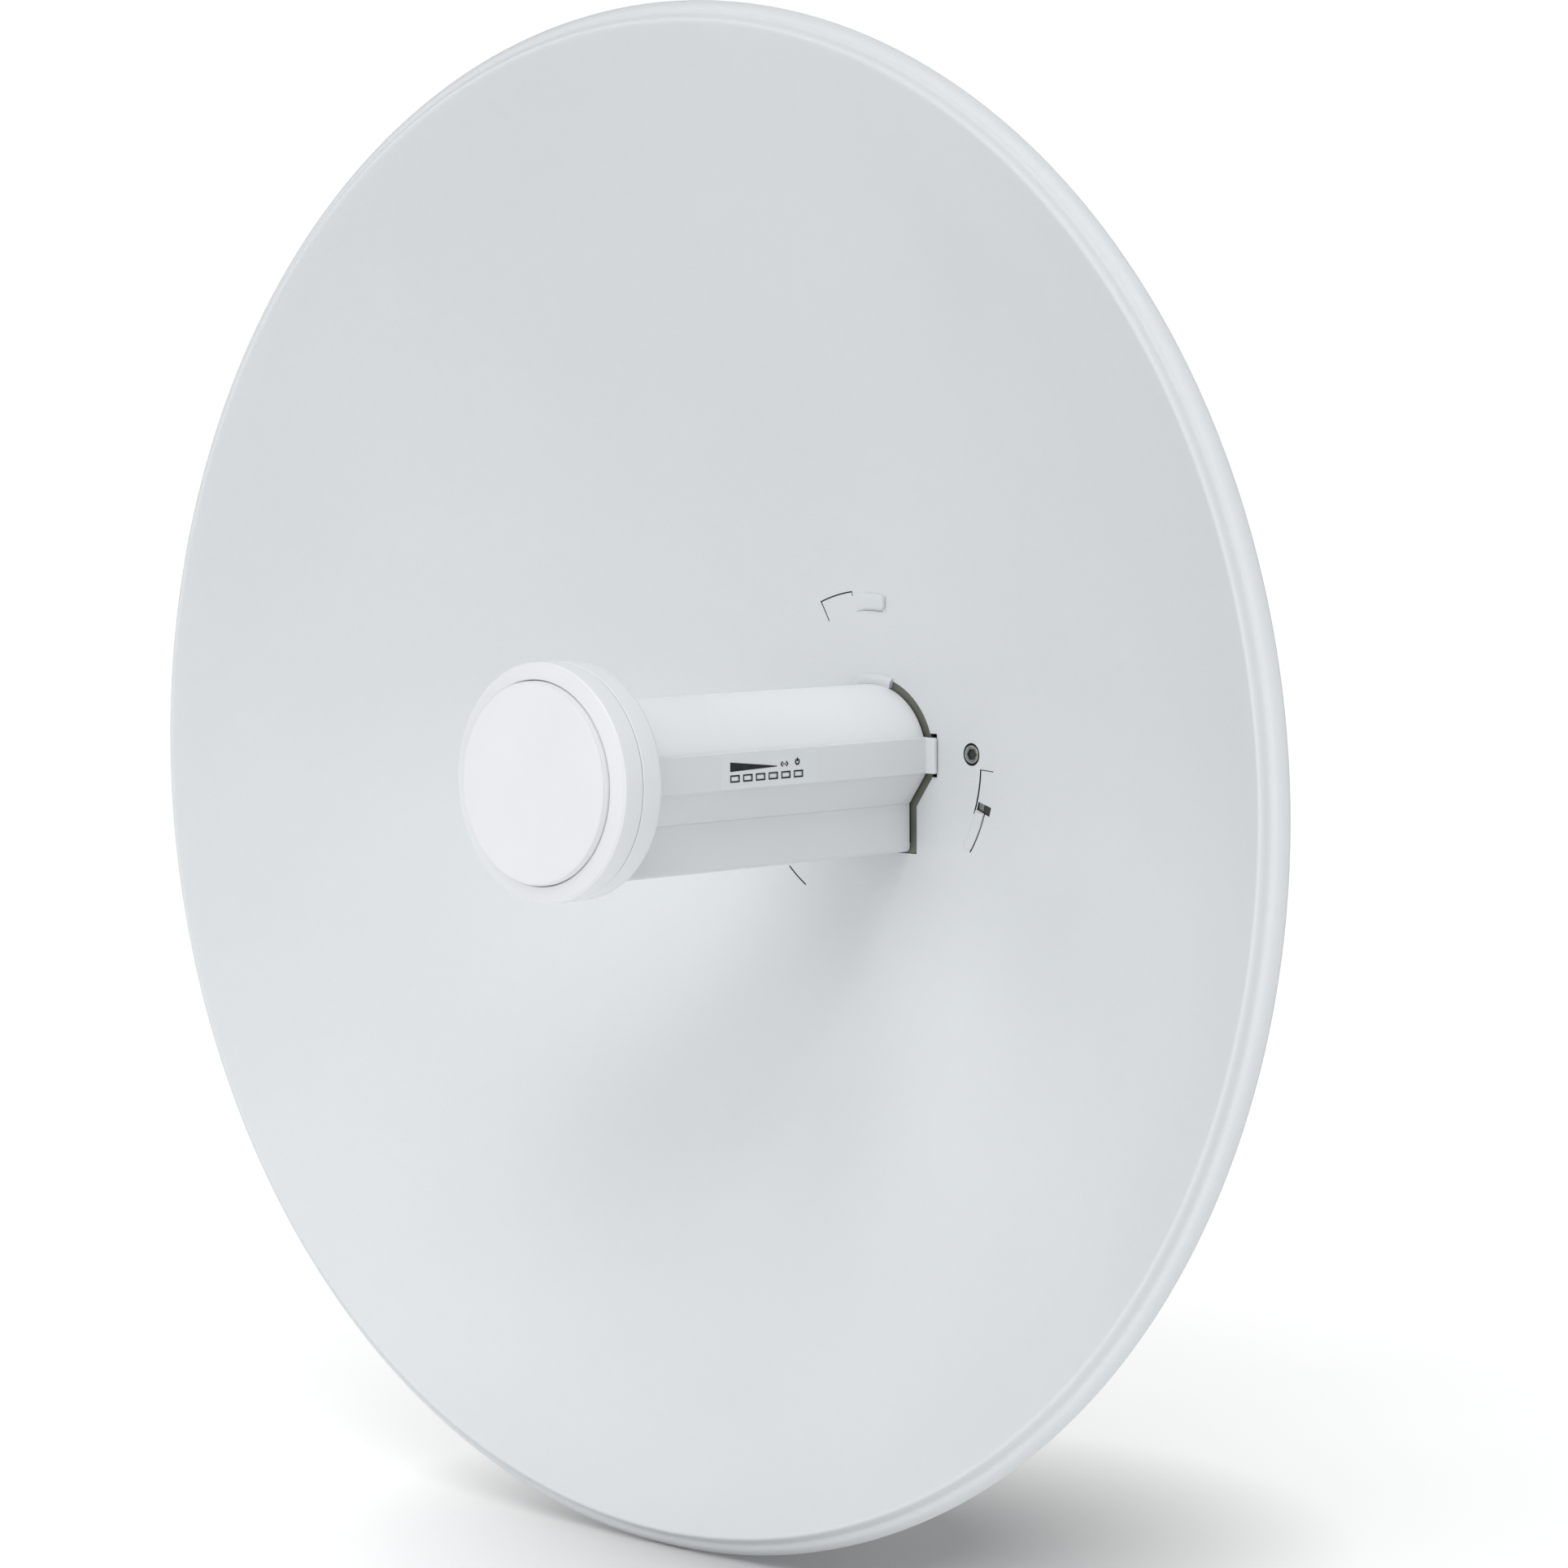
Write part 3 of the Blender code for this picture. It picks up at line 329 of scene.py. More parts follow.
def turned(name, profile, steps, where):
    """Turns (radius, height) points about z. A profile that stays off the axis makes a ring."""
    verts, rings = [], []
    for radius, height in profile:
        if radius < 1e-7:
            rings.append([len(verts)])
            verts.append((0, 0, height))
            continue
        rings.append(range(len(verts), len(verts) + steps))
        for index in range(steps):
            angle = 2 * math.pi * index / steps
            verts.append((radius * math.cos(angle), radius * math.sin(angle), height))
    pairs = list(zip(rings, rings[1:]))
    if len(rings[0]) > 1 and len(rings[-1]) > 1:
        pairs.append((rings[-1], rings[0]))
    faces = []
    for low, high in pairs:
        for i in range(steps):
            j = (i + 1) % steps
            loop = [low[i % len(low)], low[j % len(low)], high[j % len(high)], high[i % len(high)]]
            faces.append(list(dict.fromkeys(loop)))
    return piece(name, verts, faces, where)


def extruded(name, outline, low, high, where):
    """A flat outline in x and y, given thickness from z low to z high."""
    count = len(outline)
    verts = [(x, y, z) for z in (low, high) for x, y in outline]
    faces = [list(range(count)), list(range(count, 2 * count))]
    for i in range(count):
        j = (i + 1) % count
        faces.append([i, j, count + j, count + i])
    return piece(name, verts, faces, where)


def rectangle(x0, x1, y0, y1):
    """The outline of a rectangle, anticlockwise from its lowest corner."""
    return [(x0, y0), (x1, y0), (x1, y1), (x0, y1)]


def arc(radius, start, end, steps, centre=(0, 0)):
    """Points on an arc between two angles in degrees."""
    points = []
    for index in range(steps + 1):
        angle = math.radians(start + (end - start) * index / steps)
        x, y = radius * math.cos(angle), radius * math.sin(angle)
        points.append((centre[0] + x, centre[1] + y))
    return points


def rounded(points, radius, steps=5):
    """The closed outline with each corner rounded, where there is room for it."""
    made = []
    count = len(points)
    for i, point in enumerate(points):
        corner = Vector(point)
        before = Vector(points[i - 1]) - corner
        after = Vector(points[(i + 1) % count]) - corner
        cut = min(radius, before.length * 0.45, after.length * 0.45)
        start, end = corner + before.normalized() * cut, corner + after.normalized() * cut
        for step in range(steps + 1):
            t = step / steps
            made.append(tuple(start * (1 - t) ** 2 + corner * 2 * t * (1 - t) + end * t * t))
    return made


def spline(points, steps):
    """A smooth curve through the points."""
    made = []
    last = len(points) - 1
    for i in range(last):
        p0, p1 = Vector(points[max(i - 1, 0)]), Vector(points[i])
        p2, p3 = Vector(points[i + 1]), Vector(points[min(i + 2, last)])
        for step in range(steps):
            t = step / steps
            made.append(tuple(
                (p1 * 2 + (p2 - p0) * t + (p0 * 2 - p1 * 5 + p2 * 4 - p3) * t**2
                 + (p1 * 3 - p0 - p2 * 3 + p3) * t**3) / 2
            ))
    return made + [tuple(points[-1])]


def carve(obj, cutters, operation="DIFFERENCE"):
    """Applies booleans to the object's mesh and removes the cutters."""
    for cutter in cutters:
        modifier = obj.modifiers.new("carve", "BOOLEAN")
        modifier.operation = operation
        modifier.object = cutter
        modifier.solver = "EXACT"
        modifier.material_mode = "TRANSFER"
    bpy.context.view_layer.update()
    depsgraph = bpy.context.evaluated_depsgraph_get()
    mesh = bpy.data.meshes.new_from_object(obj.evaluated_get(depsgraph))
    obj.modifiers.clear()
    old = obj.data
    obj.data = mesh
    bpy.data.meshes.remove(old)
    for cutter in cutters:
        data = cutter.data
        bpy.data.objects.remove(cutter)
        bpy.data.meshes.remove(data)
    smooth(mesh)


def paint(obj, look):
    """Gives the whole object one finish."""
    obj.data.materials.clear()
    obj.data.materials.append(look)
    return obj


def shade_front_faces(obj, look, facing=0.9):
    """Gives the faces that look along -Y, at least this squarely, a finish of their own. With the
    darker front copy of the plastic, this paints shade on the faces turned to the front.
    """
    obj.data.materials.append(look)
    for face in obj.data.polygons:
        if -face.normal.y > facing:
            face.material_index = 1
    return obj


def show(obj, body, slot, *nodes, bevel=0.0):
    """Hangs a finished piece on its body, in place of the CAD nodes that it stands for."""
    if bevel:
        modifier = obj.modifiers.new("edges", "BEVEL")
        modifier.width = bevel
        modifier.segments = 2
        modifier.limit_method = "ANGLE"
        modifier.angle_limit = math.radians(SHARP)
        modifier.harden_normals = True
    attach(obj, body)
    if nodes:
        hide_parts(*nodes)
    return obj


# ------------------------------------------------------------------ reflector


def bowl_z(radius):
    """The height of the bowl's front surface over the rim's plane."""
    share = max(0.0, radius - HUB_RADIUS) / (BOWL_EDGE - HUB_RADIUS)
    return -BOWL_DEPTH + (BOWL_DEPTH + LIP_HEIGHT) * share**BOWL_POWER


def bowl_normal(radius):
    """The front surface's normal in radius and height."""
    step = 0.0002
    slope = (bowl_z(radius + step) - bowl_z(radius - step)) / (2 * step)
    return Vector((-slope, 1.0)).normalized()


def behind(radius, depth):
    """The point this far behind the front surface."""
    normal = bowl_normal(radius)
    return radius - normal.x * depth, bowl_z(radius) - normal.y * depth


def section(inset):
    """The feed tube's outline, this far inside its surface: first its keel, then its round back."""
    radius = TUBE_RADIUS - inset
    rise = Vector((SHOULDER[0] - KEEL_HALF, SHOULDER[1] - CREASE)).normalized()
    start = Vector((KEEL_HALF, CREASE)) + inset * Vector((-rise.y, rise.x))
    side = KEEL_HALF - inset
    crease = start + rise * ((side - start.x) / rise.x)
    along = start.dot(rise)
    shoulder = start + rise * (-along + math.sqrt(along**2 - start.length_squared + radius**2))
    angle = math.degrees(math.atan2(shoulder.y, shoulder.x))
    bottom = KEEL_BOTTOM + inset
    keel = [(-side, crease.y), (-side, bottom + KEEL_CORNER), (-side + KEEL_CORNER, bottom)]
    keel += [(side - KEEL_CORNER, bottom), (side, bottom + KEEL_CORNER), (side, crease.y)]
    return keel, arc(radius, angle, 180 - angle, 40)


def keyhole(inset):
    """The keyhole's outline: clear of the tube all round, but close under its keel."""
    close = 0.0007
    keel, back = section(inset - FEED_GAP)
    return [(x, max(y, KEEL_BOTTOM - close + inset)) for x, y in keel + back]


def make_reflector():
    """The pressed dish with its folded lip, its keyhole, the screw's seat and the lances' slits.
    The cuts' faces are near-black, which paints the shade in these gaps.
    """
    count, start = 54, 0.016
    reach = BOWL_EDGE - LIP_MARGIN - start
    radii = [start + reach * i / count for i in range(count + 1)]
    front = [(r, bowl_z(r)) for r in radii]
    lip = spline([
        front[-1], (0.2513, 0.0035), (0.2523, 0.0043), (0.2532, 0.0047), (0.2539, 0.0045),
        (0.2546, 0.0037), (0.2552, 0.0027), (0.2559, 0.0020), (0.2568, 0.0019), (0.2578, 0.0015),
        (0.2588, 0.0006), (0.2595, -0.0004), (RIM_RADIUS, -0.0014), (0.2598, -0.0021),
        (0.2592, -0.0023), (0.2587, -0.0020), (0.2586, -0.0012), (0.2580, -0.0003),
        (0.2569, 0.0005), (0.2557, 0.0007), (0.2548, 0.0014), (0.2542, 0.0023),
        (0.2536, 0.0031), (0.2528, 0.0033), (0.2516, 0.0025), behind(radii[-1], SHEET),
    ], 3)
    back = [behind(r, SHEET) for r in radii[::-1]]
    dish = turned("reflector_dish", front[:-1] + lip[:-1] + back, 240, DISH)
    paint(dish, POWDER)
    clear = 0.0012
    notch = rectangle(0.0200, LIP_REACH - 0.0005, RAIL_LOW - clear, RAIL_HIGH + clear)
    seat = arc(0.0040, 0, 360, 32, SCREW_AT)[:-1]
    # The keyhole's, the notch's and the seat's cut faces take the near-black finish: painted shade.
    cutters = [
        paint(extruded("cutter", outline, low, high, FEED), SLIT_SHADE)
        for outline, low, high in (
            (keyhole(0.0), -0.1150, -0.0900), (notch, -0.1150, -0.0900), (seat, -0.1060, -0.1020),
        )
    ]
    # Shallow grooves that do not go through the sheet. Their near-black floors paint the shade in
    # the lances' slits and along the straps' edges.
    slits = (
        # the radii about the feed's axis, and the angles in degrees from start to end
        ((0.0510, 0.0584), 112.35, 111.9),
        ((0.0581, 0.0586), 112.4, 97.0),
        ((0.0569, 0.0584), 97.4, 97.05),
        ((0.0507, 0.0514), -2.6, -20.5),
        ((0.0512, 0.0576), -2.65, -3.0),
        ((0.0518, 0.0586), -15.2, -18.4),
        ((0.0557, 0.0563), -18.0, -34.0),
        ((0.0566, 0.0571), -123.3, -133.5),
        ((0.05135, 0.0515), 96.5, 83.0),
        ((0.0514, 0.0574), 81.5, 81.38),
    )
    cutters += [pocket(*slit) for slit in slits]
    carve(dish, cutters)
    restore_normals(dish)
    return show(dish, "dish_head", "powder_coat", "reflector")


def restore_normals(dish):
    """Gives the bowl its exact normals again, which the cuts would otherwise disturb."""
    inner, outer = 0.018, BOWL_EDGE - LIP_MARGIN - 0.0015
    mesh = dish.data
    turn = DISH.to_3x3()
    undo = DISH.inverted()
    normals = [Vector(n.vector) for n in mesh.corner_normals]
    for face in mesh.polygons:
        for index in face.loop_indices:
            point = undo @ mesh.vertices[mesh.loops[index].vertex_index].co
            radius = math.hypot(point.x, point.y)
            if not inner < radius < outer:
                continue
            flat = bowl_normal(radius)
            exact = turn @ Vector((flat.x * point.x / radius, flat.x * point.y / radius, flat.y))
            facing = exact.dot(face.normal)
            if abs(facing) > 0.97:
                normals[index] = exact if facing > 0 else -exact
    mesh.normals_split_custom_set(normals)


def on_bowl(radius, degrees, height):
    """A point over the bowl, from its place about the feed's axis, in the feed's own frame."""
    angle = math.radians(degrees)
    x, y = radius * math.cos(angle), radius * math.sin(angle)
    return x, y, bowl_z(math.hypot(x, y + FEED_RISE)) + height


def pocket(radii, start, end):
    """A cutter for a slit in the bowl, a piece of a ring between two angles in degrees. Its
    near-black floor paints the shade in the slit.
    """
    below, above = -0.0008, 0.0015
    steps = max(1, round(abs(end - start) / 1.5))
    verts = [
        on_bowl(radii[j], start + (end - start) * i / steps, height)
        for i in range(steps + 1) for j in (0, 1) for height in (below, above)
    ]
    last = 4 * steps
    faces = [[0, 1, 3, 2], [last, last + 1, last + 3, last + 2]]
    for i in range(steps):
        a, b = 4 * i, 4 * i + 4
        faces += [[a, a + 2, b + 2, b], [a + 1, a + 3, b + 3, b + 1]]
        faces += [[a, a + 1, b + 1, b], [a + 2, a + 3, b + 3, b + 2]]
    return paint(piece("cutter", verts, faces, FEED), SLIT_SHADE)


def make_strap(name, radii, start, end, low, high, round_end):
    """A pressed strap that stands off the bowl, rising along its length."""
    along, across = 28, 10
    sunk = -0.0003
    row = across + 1
    middle, width = (radii[0] + radii[1]) / 2, radii[1] - radii[0]
    verts = []
    for i in range(along + 1):
        t = i / along
        rise = low + (high - low) * min(1.0, t * 1.6) ** 0.8
        if i == along:
            rise *= 0.55
        pinch = math.sqrt(max(0.0, 1 - max(0.0, (t - round_end) / (1.02 - round_end)) ** 2))
        for j in range(row):
            s = j / across
            dome = (1 - abs(2 * s - 1) ** 5) ** 0.5 if 0 < j < across else 0.0
            radius = middle + (s - 0.5) * width * pinch
            height = sunk + (rise - sunk) * (0.35 + 0.65 * dome)
            verts.append(on_bowl(radius, start + (end - start) * t, height))
    top = len(verts)
    for x, y, _ in verts[:top]:
        verts.append(on_bowl(math.hypot(x, y), math.degrees(math.atan2(y, x)), -0.0004))
    faces = []
    for i in range(along):
        for j in range(across):
            a = i * row + j
            faces.append([a, a + 1, a + row + 1, a + row])
            faces.append([top + a, top + a + row, top + a + row + 1, top + a + 1])
        for a in (i * row, i * row + across):
            faces.append([a, a + row, top + a + row, top + a])
    for j in range(across):
        for a in (j, along * row + j):
            faces.append([a, a + 1, top + a + 1, top + a])
    strap = paint(piece(name, verts, faces, FEED, 50), POWDER)
    return show(strap, "dish_head", "powder_coat")


def make_tongue():
    """The bent tongue seen in the right lance's hole, in grey steel rather than the dish's paint,
    which paints the shade in the hole.
    """
    thick = 0.0003
    verts = []
    for radius, degrees, height in (
        (0.0519, -15.3, -0.0003), (0.0546, -15.3, -0.0005),
        (0.0546, -18.2, -0.0007), (0.0519, -18.2, -0.0006),
    ):
        verts.append(on_bowl(radius, degrees, height))
        verts.append(on_bowl(radius, degrees, height - thick))
    faces = [[0, 2, 4, 6], [1, 3, 5, 7], [0, 2, 3, 1], [2, 4, 5, 3], [4, 6, 7, 5], [6, 0, 1, 7]]
    # Grey steel instead of the powder coat: painted shade in the hole.
    tongue = paint(piece("lance_tongue", verts, faces, FEED), STAINLESS)
    return show(tongue, "dish_head", "bolt_steel")


def make_key_bump():
    """The keyhole's close top edge, with the small bent lip that keys the feed."""
    along, across = 40, 8
    inner, crest, width = 0.02555, 0.02742, 0.0019
    verts, faces = [], []
    for i in range(along + 1):
        degrees = 150 - 79 * i / along
        swell = max(0.0, min(1.0, (104 - degrees) / 14)) ** 0.7
        verts.append(on_bowl(inner, degrees, -0.0010))
        for j in range(across):
            angle = math.pi * (0.25 + 0.75 * j / (across - 1))
            lean = math.cos(angle) / (math.cos(math.pi / 4) if j == 0 else 1.0)
            height = -0.0009 + (0.0009 + 0.0014 * swell) * math.sin(angle) ** 0.6
            verts.append(on_bowl(max(inner, crest - width * lean), degrees, height))
    row = across + 1
    for i in range(along):
        for j in range(row):
            a, b = i * row + j, i * row + (j + 1) % row
            faces.append([a, b, b + row, a + row])
    faces.append(list(range(row)))
    faces.append(list(range(along * row, along * row + row)))
    bump = paint(piece("keyhole_lip", verts, faces, FEED, 50), POWDER)
    return show(bump, "dish_head", "powder_coat")


def make_lock_screw():
    """Stainless hex-socket screw, sunk in the sheet, with a near-black washer ring round its head
    that also paints the shade round the head. The socket's faces are near-black: painted shade.
    """
    at = FEED @ Matrix.Translation((*SCREW_AT, SCREW_SEAT))
    head = [
        (0.0, -0.0118), (0.0026, -0.0118), (0.0030, -0.0112), (0.0030, -0.0010), (0.0033, -0.0009),
        (0.0033, -0.0006), (0.0033, 0.0003), (0.0031, 0.0006), (0.0028, 0.0007), (0.0025, 0.0006),
        (0.0023, 0.0003), (0.0, 0.0002),
    ]
    screw = paint(turned("lock_screw", head, 48, at), STAINLESS)
    # The socket's cut faces take the near-black ink: painted shade in the socket.
    socket = extruded("cutter", arc(0.0021, 0, 360, 6)[:-1], -0.0020, 0.0030, at)
    carve(screw, [paint(socket, INK)])
    show(screw, "dish_head", "bolt_steel", "reflector_screw")
    # The washer's near-black also paints the shade in the gap round the head.
    ring = rectangle(0.0034, 0.0039, -0.0008, -0.0001)
    washer = paint(turned("lock_screw_washer", ring, 48, at), INK)
    show(washer, "dish_head", "dark_plastic")


# ------------------------------------------------------------------ feed


def make_feed_head():
    """The round head in three turned pieces: its flat cap, the ring round it and its back. The
    cap's and the ring's front faces take a darker copy of the plastic, which is painted shade.
    """
    cap_floor = 0.0590
    cap = [(0.0, HEAD_FRONT), (0.0316, HEAD_FRONT), (0.0324, HEAD_FRONT - 0.00004)]
    cap += arc(0.0010, 84, 20, 6, (0.0325, HEAD_FRONT - 0.0011))
    cap += [(CAP_RADIUS, HEAD_FRONT - 0.0020), (CAP_RADIUS, CAP_BACK), (0.0318, CAP_BACK)]
    cap += [(0.0318, cap_floor), (0.0, cap_floor)]
    cap = shade_front_faces(paint(turned("head_cap", cap, 160, FEED), SHELL), SHELL_FRONT_SHADE, 0.4)
    show(cap, "feed", "radome_plastic", "feed_cap")
    ring = [(RING_BORE, 0.0580), (0.03393, 0.0583), (0.0342, 0.0584), (0.0350, 0.0582)]
    ring += [(0.0370, 0.0576), (0.0384, 0.0571)]
    ring += arc(0.0011, 72, 2, 8, (0.0385, 0.0560))
    ring += [(HEAD_RADIUS, 0.0490), (0.0394, SEAM_FRONT), (HEAD_BORE, SEAM_FRONT)]
    ring += [(HEAD_BORE, 0.0512), (0.0354, 0.0532), (0.0300, 0.0532), (0.0300, 0.0552)]
    ring += [(RING_BORE, 0.0552)]
    ring = shade_front_faces(paint(turned("head_ring", ring, 160, FEED), SHELL), SHELL_FRONT_SHADE, 0.75)
    show(ring, "feed", "radome_plastic", "radome_front")
    rear = [(0.0394, SEAM_BACK), (HEAD_RADIUS, 0.0481), (HEAD_RADIUS, 0.0415)]
    rear += arc(0.0030, 0, -88, 8, (0.0366, 0.0415))
    rear += [(0.0140, HEAD_BACK), (0.0140, 0.0405), (0.0359, 0.0405)]
    rear += [(HEAD_BORE, 0.0424), (HEAD_BORE, SEAM_BACK)]
    rear = paint(turned("head_back", rear, 160, FEED), SHELL)
    show(rear, "feed", "radome_plastic", "radome_rear")


def make_tube():
    """The tube's two shells, the lower one in a darker copy of the plastic that paints its shade,
    and the dark collar where it enters the keyhole.
    """
    outer_keel, outer_back = section(0.0)
    inner_keel, inner_back = section(TUBE_WALL)
    upper = [outer_keel[5], *outer_back, outer_keel[0]]
    upper += [inner_keel[0], *inner_back[::-1], inner_keel[5]]
    shell = paint(extruded("tube_back", upper, TUBE_END, TUBE_FRONT, FEED), SHELL)
    window = rectangle(0.0200, 0.0300, RAIL_LOW, RAIL_HIGH)
    carve(shell, [paint(extruded("cutter", window, -0.1100, 0.0400, FEED), SHELL)])
    # Painted shade: the shell's faces below the strip take the darker copy of the plastic.
    shell.data.materials.append(SHELL_LOWER_SHADE)
    for face in shell.data.polygons:
        if face.center.z - FEED_RISE < RAIL_LOW:
            face.material_index = len(shell.data.materials) - 1
    show(shell, "feed", "radome_plastic", "tube_upper_shell")

    top = CREASE - 0.00004
    side, turn = KEEL_HALF - KEEL_CORNER, KEEL_BOTTOM + KEEL_CORNER
    keel = [(-KEEL_HALF, top), (-KEEL_HALF, turn)]
    keel += arc(KEEL_CORNER, 190, 260, 5, (-side, turn))
    keel += arc(KEEL_CORNER, 280, 350, 5, (side, turn))
    keel += [(KEEL_HALF, turn), (KEEL_HALF, top)]
    keel += [(KEEL_HALF - TUBE_WALL, top), *inner_keel[4:0:-1], (TUBE_WALL - KEEL_HALF, top)]
    keel = paint(extruded("tube_keel", keel, TUBE_END, TUBE_FRONT, FEED), SHELL_LOWER_SHADE)
    show(keel, "feed", "radome_plastic", "tube_lower_shell")

    # The collar's dark olive stands for the spigot's plastic and also paints the shade in the
    # keyhole's gap.
    collar = extruded("spigot_collar", keyhole(0.0002), COLLAR_BACK, COLLAR_FRONT, FEED)
    inner_keel, inner_back = section(COLLAR_WALL)
    hole = extruded("cutter", inner_keel + inner_back, -0.1080, -0.1060, FEED)
    carve(paint(collar, OLIVE_GAP_SHADE), [paint(hole, OLIVE_GAP_SHADE)])
    show(collar, "feed", "dark_plastic")


def make_rail():
    """The flat strip along the tube, its turned-out lip at the dish, and the LED windows. The strip
    and the lip take the darker copy of the plastic, which is painted shade.
    """
    outline = rounded(rectangle(RAIL_INSIDE, RAIL_FACE, RAIL_LOW, RAIL_HIGH), 0.0007)
    strip = paint(extruded("rail_strip", outline, TUBE_END, TUBE_FRONT, FEED), SHELL_LOWER_SHADE)
    holes = [led_block(index, 0.0200, 0.0300, 0.0001) for index in range(LED_COUNT)]
    carve(strip, [paint(hole, SHELL_LOWER_SHADE) for hole in holes])
    show(strip, "feed", "radome_plastic", "led_rail")
    outline = rectangle(TUBE_RADIUS + 0.0003, LIP_REACH, RAIL_LOW + 0.0001, RAIL_HIGH - 0.0001)
    outline = rounded(outline, 0.0005)
    lip = paint(extruded("rail_lip", outline, RAIL_LIP_BACK, RAIL_LIP_FRONT, FEED), SHELL_LOWER_SHADE)
    # The lip's front faces take the darker front copy: painted shade.
    show(shade_front_faces(lip, SHELL_FRONT_SHADE), "feed", "radome_plastic", bevel=0.0003)
    pipe, *others = [led_block(i, 0.0220, RAIL_FACE - 0.0001, 0.0) for i in range(LED_COUNT)]
    carve(pipe, others, "UNION")
    pipe.name = "led_windows"
    show(paint(pipe, CLEAR), "feed", "light_pipe", "led_light_pipe")


def led_block(index, low, high, margin):
    """A window's shape, from one distance off the feed's axis to another, widened by a margin."""
    z = LED_FIRST - index * LED_PITCH
    length, height = (size / 2 + margin - LED_INSET for size in LED_SIZE)
    across = Matrix(((0, 0, 1, 0), (0, 1, 0, LED_HEIGHT), (-1, 0, 0, z), (0, 0, 0, 1)))
    outline = rounded(rectangle(-length, length, -height, height), 0.0003, 3)
    return extruded("led_block", outline, low, high, FEED @ across)


RAIL_PLANE = FEED @ Matrix(((0, 0, 1, RAIL_FACE), (0, 1, 0, 0), (-1, 0, 0, 0), (0, 0, 0, 1)))


def printed(name, outlines):
    """Flat ink on the rail. Each outline is in the distance behind the rim's plane and height."""
    verts, faces = [], []
    for outline in outlines:
        part = extruded(name, outline, INK_LOW, INK_HIGH, RAIL_PLANE)
        data = part.data
        base = len(verts)
        verts += [tuple(v.co) for v in data.vertices]
        faces += [[base + i for i in f.vertices] for f in data.polygons]
        bpy.data.objects.remove(part)
        bpy.data.meshes.remove(data)
    return show(paint(piece(name, verts, faces), INK), "feed", "dark_plastic")


def stroke(points, width):
    """The outline of a line of this width through the points."""
    left, right = [], []
    for i, point in enumerate(points):
        before, after = Vector(points[max(i - 1, 0)]), Vector(points[min(i + 1, len(points) - 1)])
        along = (after - before).normalized()
        side = Vector((-along.y, along.x)) * width / 2
        left.append(tuple(Vector(point) + side))
        right.append(tuple(Vector(point) - side))
    return left + right[::-1]


def window_frame(index):
    """Four bars round a window, a hair apart where they would touch."""
    apart = 0.00001
    middle = -LED_FIRST + index * LED_PITCH
    x0, x1 = middle - LED_SIZE[0] / 2, middle + LED_SIZE[0] / 2
    y0, y1 = LED_HEIGHT - LED_SIZE[1] / 2, LED_HEIGHT + LED_SIZE[1] / 2
    bottom, top = y0 + FRAME_LINE + apart, y1 - FRAME_LINE - apart
    return [
        rectangle(x0, x1, y0, y0 + FRAME_LINE), rectangle(x0, x1, y1 - FRAME_LINE, y1),
        rectangle(x0, x0 + FRAME_LINE, bottom, top), rectangle(x1 - FRAME_LINE, x1, bottom, top),
    ]


def make_label():
    """The film on the rail, the level wedge, the frames of the six windows and two plain icons."""
    low, high = RAIL_LOW + LABEL_MARGIN, RAIL_HIGH - LABEL_MARGIN
    outline = rounded(rectangle(LABEL_START, LABEL_END, low, high), 0.0008)
    label = paint(extruded("label", outline, 0.0, FILM, RAIL_PLANE), LABEL)
    holes = [led_block(index, 0.0255, 0.0270, 0.0002) for index in range(LED_COUNT)]
    carve(label, [paint(hole, LABEL) for hole in holes])
    show(label, "feed", "radome_plastic")
    marks = [WEDGE]
    for index in range(LED_COUNT):
        marks += window_frame(index)
    x, y = LINK_AT
    half = 0.0008
    for side in (-1, 1):
        near, tip = x + side * half, x + side * 0.0017
        marks.append(stroke([(near, y + half), (tip, y), (near, y - half)], LINK_LINE))
        marks.append(arc(0.00030, 0, 360, 8, (x + side * 0.00035, y))[:-1])
    x, y = POWER_AT
    marks.append(stroke(arc(0.0009, 60, -240, 20, (x, y)), POWER_LINE))
    marks.append(stroke([(x, y + 0.0014), (x, y + 0.0001)], POWER_LINE))
    printed("label_print", marks)


# ------------------------------------------------------------------ CAD nodes with better finishes


def dressed(node, body, look, slot, bevel):
    """A copy of a CAD node with its flat faces joined and its edges softened.

    The rear housing's lugs end under the bowl's sheet, whose pressed straps cover them.
    """
    bm = bmesh.new()
    bm.from_mesh(frame["nodes"][node].data)
    bmesh.ops.remove_doubles(bm, verts=bm.verts, dist=2e-7)
    bmesh.ops.dissolve_limit(bm, angle_limit=math.radians(0.5), verts=bm.verts, edges=bm.edges)
    mesh = bpy.data.meshes.new(node + "_shown")
    bm.to_mesh(mesh)
    bm.free()
    smooth(mesh, 33)
    made = bpy.data.objects.new(node + "_shown", mesh)
    bpy.context.scene.collection.objects.link(made)
    paint(made, look)
    if node == "rear_housing":
        square = rectangle(-0.1, 0.1, -0.1, 0.1)
        carve(made, [paint(extruded("cutter", square, -0.1066, -0.0900, DISH), look)])
    return show(made, body, slot, node, bevel=bevel)


